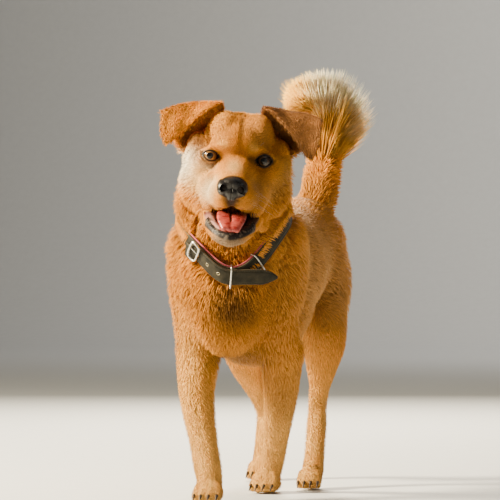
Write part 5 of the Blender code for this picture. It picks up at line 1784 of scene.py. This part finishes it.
strapEnd = sweepBand("strapEnd", endLine, endMarks, strapSection, False, pointed)
print("bands made")


def scatterCopies(name, mould, spots, outs, alongs, ups):
    # copies of one small shape, its x along the band, y up, z outwards, joined as one mesh
    shape = pointsOf(mould)
    faces = [tuple(face.vertices) for face in mould.data.polygons]
    bpy.data.objects.remove(mould)
    points = spots[:, None, :] + alongs[:, None, :] * shape[None, :, 0:1]
    points = points + ups[:, None, :] * shape[None, :, 1:2] + outs[:, None, :] * shape[None, :, 2:3]
    starts = range(0, len(spots) * len(shape), len(shape))
    faces = [tuple(index + start for index in face) for start in starts for face in faces]
    return smoothShade(faceOutwards(newMesh(name, points.reshape(-1, 3), faces)))


def bandSpots(line, marks, closed, at, height, across=0.0):
    # spots on the band at given runs along it, with their three ways
    along, out, up = bandFrame(line, closed)
    total = marks[-1] + (marks[1] - marks[0] if closed else 0)
    at = np.array(at) % total if closed else np.array(at)
    known = np.append(marks, total) if closed else marks

    def pick(values):
        values = np.concatenate([values, values[:1]]) if closed else values
        return np.stack([np.interp(at, known, values[:, k]) for k in range(3)], 1)

    along, out, up = unit(pick(along)), unit(pick(out)), unit(pick(up))
    return pick(line) + out * height + up * across, out, along, up


def addStitches():
    gathered = []
    inset = half - collarSettings["stitchInset"]
    every = collarSettings["stitchEvery"]
    for line, marks, closed, last in (
            (strapLine, strapMarks, True, 0), (endLine, endMarks, False, collarSettings["tip"])):
        for across in (inset, -inset):
            at = np.arange(every, marks[-1] - last, every)
            gathered.append(bandSpots(line, marks, closed, at, halfThick - 0.00005, across))
    mould = addShape("uv_sphere", segments=8, ring_count=5, radius=1)
    setPoints(mould, pointsOf(mould)[:, [2, 0, 1]] * np.array((every * 0.40, 0.00032, 0.00028)))
    return scatterCopies("strapStitches", mould, *(np.concatenate(part) for part in zip(*gathered)))


def addEyelets():
    spots = bandSpots(endLine, endMarks, False, collarSettings["eyelets"], halfThick + 0.0001)
    radius = collarSettings["eyelet"]
    mould = addShape("torus", major_segments=22, minor_segments=8, major_radius=radius, minor_radius=0.0005)
    rings = scatterCopies("strapEyelets", mould, *spots)
    mould = addShape("uv_sphere", segments=16, ring_count=6, radius=radius)
    setPoints(mould, pointsOf(mould) * np.array((0.9, 0.9, 0.18)))
    return rings, scatterCopies("strapHoles", mould, *spots)


def wireLoop(name, node, wire, shift=0.0):
    # a rounded rectangle of wire on the solid's own place and size
    spots = np.array([vertex.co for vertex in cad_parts[node].data.vertices])
    centre = (spots.min(0) + spots.max(0)) / 2
    axes = np.linalg.svd(spots - spots.mean(0), full_matrices=False)[2]
    axes[2] = np.cross(axes[0], axes[1])
    reach = np.array([np.abs((spots - centre) @ axis).max() - wire for axis in axes])
    nearest = np.argmin(np.linalg.norm(strapLine - centre, axis=1))
    centre = centre + bandFrame(strapLine, True)[0][nearest] * shift
    made = addShape("torus", major_segments=72, minor_segments=12, major_radius=1, minor_radius=wire)
    made.name = name
    points = pointsOf(made)
    turn = np.arctan2(points[:, 1], points[:, 0])
    away = np.hypot(points[:, 0], points[:, 1]) - 1
    around = np.stack([np.cos(turn), np.sin(turn)], 1)
    path = np.sign(around) * np.abs(around) ** 0.5 * reach[:2]
    flat = path + unit(around / reach[:2]) * away[:, None]
    setPoints(made, centre + flat[:, :1] * axes[0] + flat[:, 1:2] * axes[1] + points[:, 2:3] * axes[2])
    return smoothShade(faceOutwards(made)), centre, axes, reach


stitches = addStitches()
eyelets, eyeletHoles = addEyelets()
keeper = wireLoop("strapKeeper", "collar_keeper", 0.0011)[0]
sideRing = wireLoop("strapRing", "collar_ring", 0.0011)[0]
buckle, buckleCentre, buckleAxes, buckleReach = wireLoop(
    "strapBuckle", "collar_buckle", 0.0017, collarSettings["buckleShift"])


def addProng():
    # the pin across the buckle, slimmer towards its tip
    long = 2 * buckleReach[1]
    made = addShape("cylinder", vertices=14, radius=0.0011, depth=long + 0.003)
    points = pointsOf(made)
    slim = 1 - 0.35 * ease(0.2, 0.5, points[:, 2:3] / long)
    outward = buckleAxes[2] * np.sign(buckleAxes[2] @ (buckleCentre - bandAxis))
    spots = (buckleCentre + buckleAxes[1] * points[:, 2:3] + buckleAxes[0] * (points[:, :1] * slim)
             + outward * (points[:, 1:2] * slim + 0.0016))
    setPoints(made, spots)
    made.name = "strapProng"
    rounding = made.modifiers.new("Round", "BEVEL")
    rounding.width = 0.0004
    rounding.segments = 3
    return smoothShade(faceOutwards(applyAll(made)))


prong = addProng()
print("collar metal made")


def leatherMaterial():
    made, tree, shader = startMaterial("oiledLeather", 0.5, 0.18)
    split = addNode(tree, "SeparateXYZ")
    tree.links.new(attribute(tree, "band", "Vector"), split.inputs["Vector"])
    edge = addNode(tree, "Math", operation="ABSOLUTE")
    tree.links.new(split.outputs["Y"], edge.inputs[0])
    worn = objectNoise(tree, 70, 3, 0.6)
    rim = addNode(tree, "Mix", data_type="RGBA")
    tree.links.new(remap(tree, edge.outputs[0], 0.0, 0.75, 0.90, 1.0), rim.inputs["Factor"])
    colour = addRamp(tree, worn, ((0.35, (0.009, 0.008, 0.004)), (0.70, (0.036, 0.030, 0.017))))
    tree.links.new(colour, rim.inputs["A"])
    rim.inputs["B"].default_value = (0.085, 0.068, 0.042, 1)
    tree.links.new(rim.outputs["Result"], shader.inputs["Base Color"])
    tree.links.new(remap(tree, worn, 0.42, 0.62), shader.inputs["Roughness"])
    addBump(tree, shader, objectNoise(tree, 900, 4, 0.6), 0.5, 0.0004)
    return made


def feltMaterial():
    made, tree, shader = startMaterial("redFelt", 0.85, 0.2, {"Sheen Weight": 0.3})
    fibres = objectNoise(tree, 1400, 4, 0.7)
    broad = objectNoise(tree, 120, 2)
    colour = addRamp(tree, broad, ((0, (0.30, 0.030, 0.045)), (1, (0.62, 0.120, 0.150))))
    tree.links.new(tinted(tree, colour, remap(tree, fibres, 0.75, 1.2)), shader.inputs["Base Color"])
    addBump(tree, shader, fibres, 0.6, 0.0005)
    return made


def metalMaterial(name, low, high, roughness):
    return grainMaterial(
        name, roughness, 0.5, (500, 4, 0.6), ((0, low), (1, high)), (roughness * 0.7, roughness * 1.5),
        (0.15, 0.0002), {"Metallic": 1.0})


leather = leatherMaterial()
felt = feltMaterial()
steel = metalMaterial("brightSteel", (0.55, 0.53, 0.48), (0.80, 0.78, 0.72), 0.26)
brass = metalMaterial("dullBrass", (0.30, 0.24, 0.14), (0.50, 0.42, 0.27), 0.34)
waxed = ((0, (0.030, 0.025, 0.015)), (1, (0.090, 0.075, 0.048)))
thread = grainMaterial("waxedThread", 0.6, 0.3, (2200, 3, 0.6), waxed)
collarPieces = {
    strap: (leather, "strap", ("collar_strap",)),
    strapEnd: (leather, "strap", ("collar_free_end",)),
    lining: (felt, "lining", ("collar_lining",)),
    stitches: (thread, "strap", ()),
    eyelets: (brass, "buckle", ()),
    eyeletHoles: (leather, "strap", ()),
    keeper: (steel, "buckle", ("collar_keeper",)),
    sideRing: (steel, "buckle", ("collar_ring",)),
    buckle: (steel, "buckle", ("collar_buckle",)),
    prong: (steel, "buckle", ()),
}
for piece, (look, slot, nodes) in collarPieces.items():
    dress(piece, look)
    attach(piece, "root")
    if nodes:
        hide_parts(*nodes)
print("collar done")


overSettings = {
    "tufts": 7200,
    "length": 0.020,
    "width": 0.0013,
    "rise": 0.020,            # how far above the band the roots begin
    "proudest": 0.026,
    "back": 0.35,             # how far the hair sweeps back as it falls
}


def plantOverBand():
    # the neck's hair falls over the band at the sides and behind, and leaves the front clear
    chance = np.random.default_rng(58)
    count = int(overSettings["tufts"] * coatSettings["fill"])
    along, out, up = bandFrame(strapLine, True)
    index = chance.integers(0, len(strapLine), count)
    x, y = strapLine[index, 0] - moved.x, strapLine[index, 1] - moved.y
    share = np.maximum(1 - ease(-0.052, -0.040, x), 0.95 * ease(0.044, 0.056, x)) + 0.45 * ease(0.03, 0.07, y)
    keep = chance.random(count) < share
    index = index[keep]
    count = len(index)
    slide = (chance.random((count, 1)) * 2 - 1) * 0.0016
    fade = chance.random((count, 1)) ** 1.3
    above = 0.0015 + overSettings["rise"] * fade
    edge = strapLine[index] + along[index] * slide + up[index] * (collarSettings["half"] + above)
    planted = np.array([skinTree.find_nearest(Vector(spot))[0] for spot in edge])
    proud = ((edge - planted) * out[index]).sum(1, keepdims=True) + 0.0026
    proud = np.clip(proud, 0.001, overSettings["proudest"])
    back = np.sign(along[index, 1])[:, None] * along[index]
    ways = -up[index] + back * (overSettings["back"] + 0.20 * (chance.random((count, 1)) * 2 - 1))
    ways = ways + back * 0.2 * cloud(planted, 0.02, 8)[:, None]
    ways = unit(ways - (ways * out[index]).sum(1, keepdims=True) * out[index])
    shorter = 1 - 0.45 * (x[keep] > 0.04) * (y[keep] < 0.06)
    tufts = {
        "roots": planted + out[index] * proud * (1 - fade), "normals": out[index], "ways": ways,
        "lengths": (
            overSettings["length"] * (0.50 + 0.80 * chance.random(count)) + 0.3 * above[:, 0]) * shorter,
        "widths": overSettings["width"] * (0.8 + 0.4 * chance.random(count)),
        "lifts": 0.05 + 0.09 * chance.random(count) + 0.22 * fade[:, 0],
        "sway": 0.12 * (chance.random(count) * 2 - 1), "sag": np.zeros(count), "chance": chance.random(count),
        "colours": coatColour(planted), "charts": chartOf("neck", planted, neckAxis), "look": furLook,
    }
    print("hair over the band", count, "tufts", count * 16, "triangles")
    return buildTufts("coatOverBand", tufts, 3)


whiskerSettings = {
    "muzzle": ((22, -42, -50), (26, -34, -46), (24, -38, -58), (28, -28, -54), (20, -46, -60), (29, -20, -48),
               (26, -30, -64)),
    "way": (0.85, -0.15, -0.35), "length": 34, "width": 0.00055, "lift": 0.05, "sway": 0.1, "sag": 0.22,
    "brow": ((30, 2, 21), (0.55, -0.70, 0.55), 15),
    "chin": ((10, -44, -122), (0.35, -0.45, -0.75), 9),
}


def plantWhiskers():
    # a few stiff hairs on the muzzle, one on each brow and on the chin
    chance = np.random.default_rng(12)
    rows = [(spot, whiskerSettings["way"], whiskerSettings["length"]) for spot in whiskerSettings["muzzle"]]
    rows += [whiskerSettings["brow"], whiskerSettings["chin"]]
    roots, ways, lengths = [], [], []
    for spot, way, length in rows:
        for side in (1, -1):
            near = fromHead(np.array([mirrored(spot, side)]))[0]
            roots.append(np.array(skinTree.find_nearest(Vector(near))[0]))
            ways.append(turnFromHead(np.array([mirrored(way, side)]))[0])
            lengths.append(length * 0.001 * (0.8 + 0.4 * chance.random()))
    count = len(roots)
    lengths = np.array(lengths)
    roots, ways = np.array(roots), unit(np.array(ways) + 0.12 * chance.standard_normal((count, 3)))
    tufts = {
        "roots": roots, "normals": unit(np.cross(np.cross(ways, (0, 0, 1.0)), ways)), "ways": ways,
        "lengths": lengths, "widths": np.full(count, whiskerSettings["width"]),
        "lifts": np.full(count, whiskerSettings["lift"]),
        "sway": whiskerSettings["sway"] * (chance.random(count) * 2 - 1),
        "sag": np.full(count, whiskerSettings["sag"]), "chance": chance.random(count),
        "colours": plain("white", count) * np.where(lengths[:, None] < 0.022, 0.3, 0.9),
        "charts": chartOf("head", roots), "look": furLook,
    }
    return buildTufts("whiskers", tufts, 4)


coatPieces.append(plantOverBand())
coatPieces.append(plantWhiskers())


floorSettings = {"size": (14.0, 15.0), "back": 2.2, "wall": 4.0, "bend": 2.4, "below": -0.0005}


def addFloor():
    # a wide floor that sweeps up into a wall far behind
    floor = addShape("plane", size=1, location=(0, 0, floorSettings["below"]))
    floor.name = "floor"
    points = pointsOf(floor)
    points[:, :2] *= floorSettings["size"]
    points[:, 1] += floorSettings["back"]
    setPoints(floor, points)
    makeActive(floor)
    bpy.ops.object.transform_apply(location=True, rotation=True, scale=True)
    bpy.ops.object.mode_set(mode="EDIT")
    bpy.ops.mesh.select_mode(type="EDGE")
    bpy.ops.mesh.select_all(action="DESELECT")
    bpy.ops.object.mode_set(mode="OBJECT")
    for edge in floor.data.edges:
        edge.select = all(floor.data.vertices[index].co.y > 6 for index in edge.vertices)
    bpy.ops.object.mode_set(mode="EDIT")
    bpy.ops.mesh.extrude_region_move(TRANSFORM_OT_translate={"value": (0, 0.0, floorSettings["wall"])})
    bpy.ops.object.mode_set(mode="OBJECT")
    bend = floor.modifiers.new("Sweep", "BEVEL")
    bend.width = floorSettings["bend"]
    bend.segments = 24
    bend.limit_method = "ANGLE"
    smoothShade(applyAll(floor))
    greys = ((0, (0.62, 0.63, 0.63)), (1, (0.68, 0.69, 0.69)))
    dress(floor, grainMaterial("paleFloor", 0.75, 0.2, (35, 3), greys))


# lamps: place, aim, size, power and tone
lamps = {
    "backdrop": ((0, 6.2, 3.6), (0, 9.4, 1.2), 2.0, 120, (1.0, 0.95, 0.88)),
    "key": ((-2.35, -1.00, 1.65), (0, -0.05, 0.33), 0.6, 470, (1.0, 0.86, 0.60)),
    "fill": ((2.2, -2.8, 1.2), (0, 0, 0.33), 2.4, 10, (1.0, 0.94, 0.84)),
    "rim": ((-0.6, 2.4, 1.7), (0, 0.2, 0.50), 0.7, 190, (1.0, 0.88, 0.68)),
    "over": ((0.2, 0.0, 3.0), (0, 0, 0.3), 2.5, 12, (1.0, 0.97, 0.92)),
}


def addLamps():
    for name, (at, aim, size, power, tone) in lamps.items():
        light = bpy.data.lights.new(name, "AREA")
        light.size = size
        light.energy = power
        light.color = tone
        holder = bpy.data.objects.new(name, light)
        holder.location = at
        holder.rotation_euler = (Vector(aim) - Vector(at)).to_track_quat("-Z", "Y").to_euler()
        bpy.context.scene.collection.objects.link(holder)
    world = bpy.data.worlds.new("studio")
    world.use_nodes = True
    setInputs(world.node_tree.nodes["Background"], {"Color": (1.0, 0.98, 0.94, 1), "Strength": 0.11})
    bpy.context.scene.world = world


cameraSettings = {"at": (1.2110, -4.3592, 0.34), "pitch": 90.2855, "turn": 16, "lens": 216.72}


def addCamera():
    camera = bpy.data.cameras.new("front")
    camera.lens = cameraSettings["lens"]
    camera.sensor_width = 36
    camera.clip_end = 50
    holder = bpy.data.objects.new("front", camera)
    holder.location = cameraSettings["at"]
    holder.rotation_euler = (math.radians(cameraSettings["pitch"]), 0, math.radians(cameraSettings["turn"]))
    bpy.context.scene.collection.objects.link(holder)
    bpy.context.scene.camera = holder


addFloor()
addLamps()
addCamera()
print("stage set")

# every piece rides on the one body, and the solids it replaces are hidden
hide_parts(*[name for name in fleshNodes if name != "tail_plume"])
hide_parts("tail_plume")
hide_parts("eye_right")
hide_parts("eye_left")
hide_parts("nose")
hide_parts("tongue")
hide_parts(*clawNodes)
for piece in [skin, tailPlume, *eyeballs.values(), nosePiece, tonguePiece, clawPiece, *coatPieces]:
    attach(piece, "root")
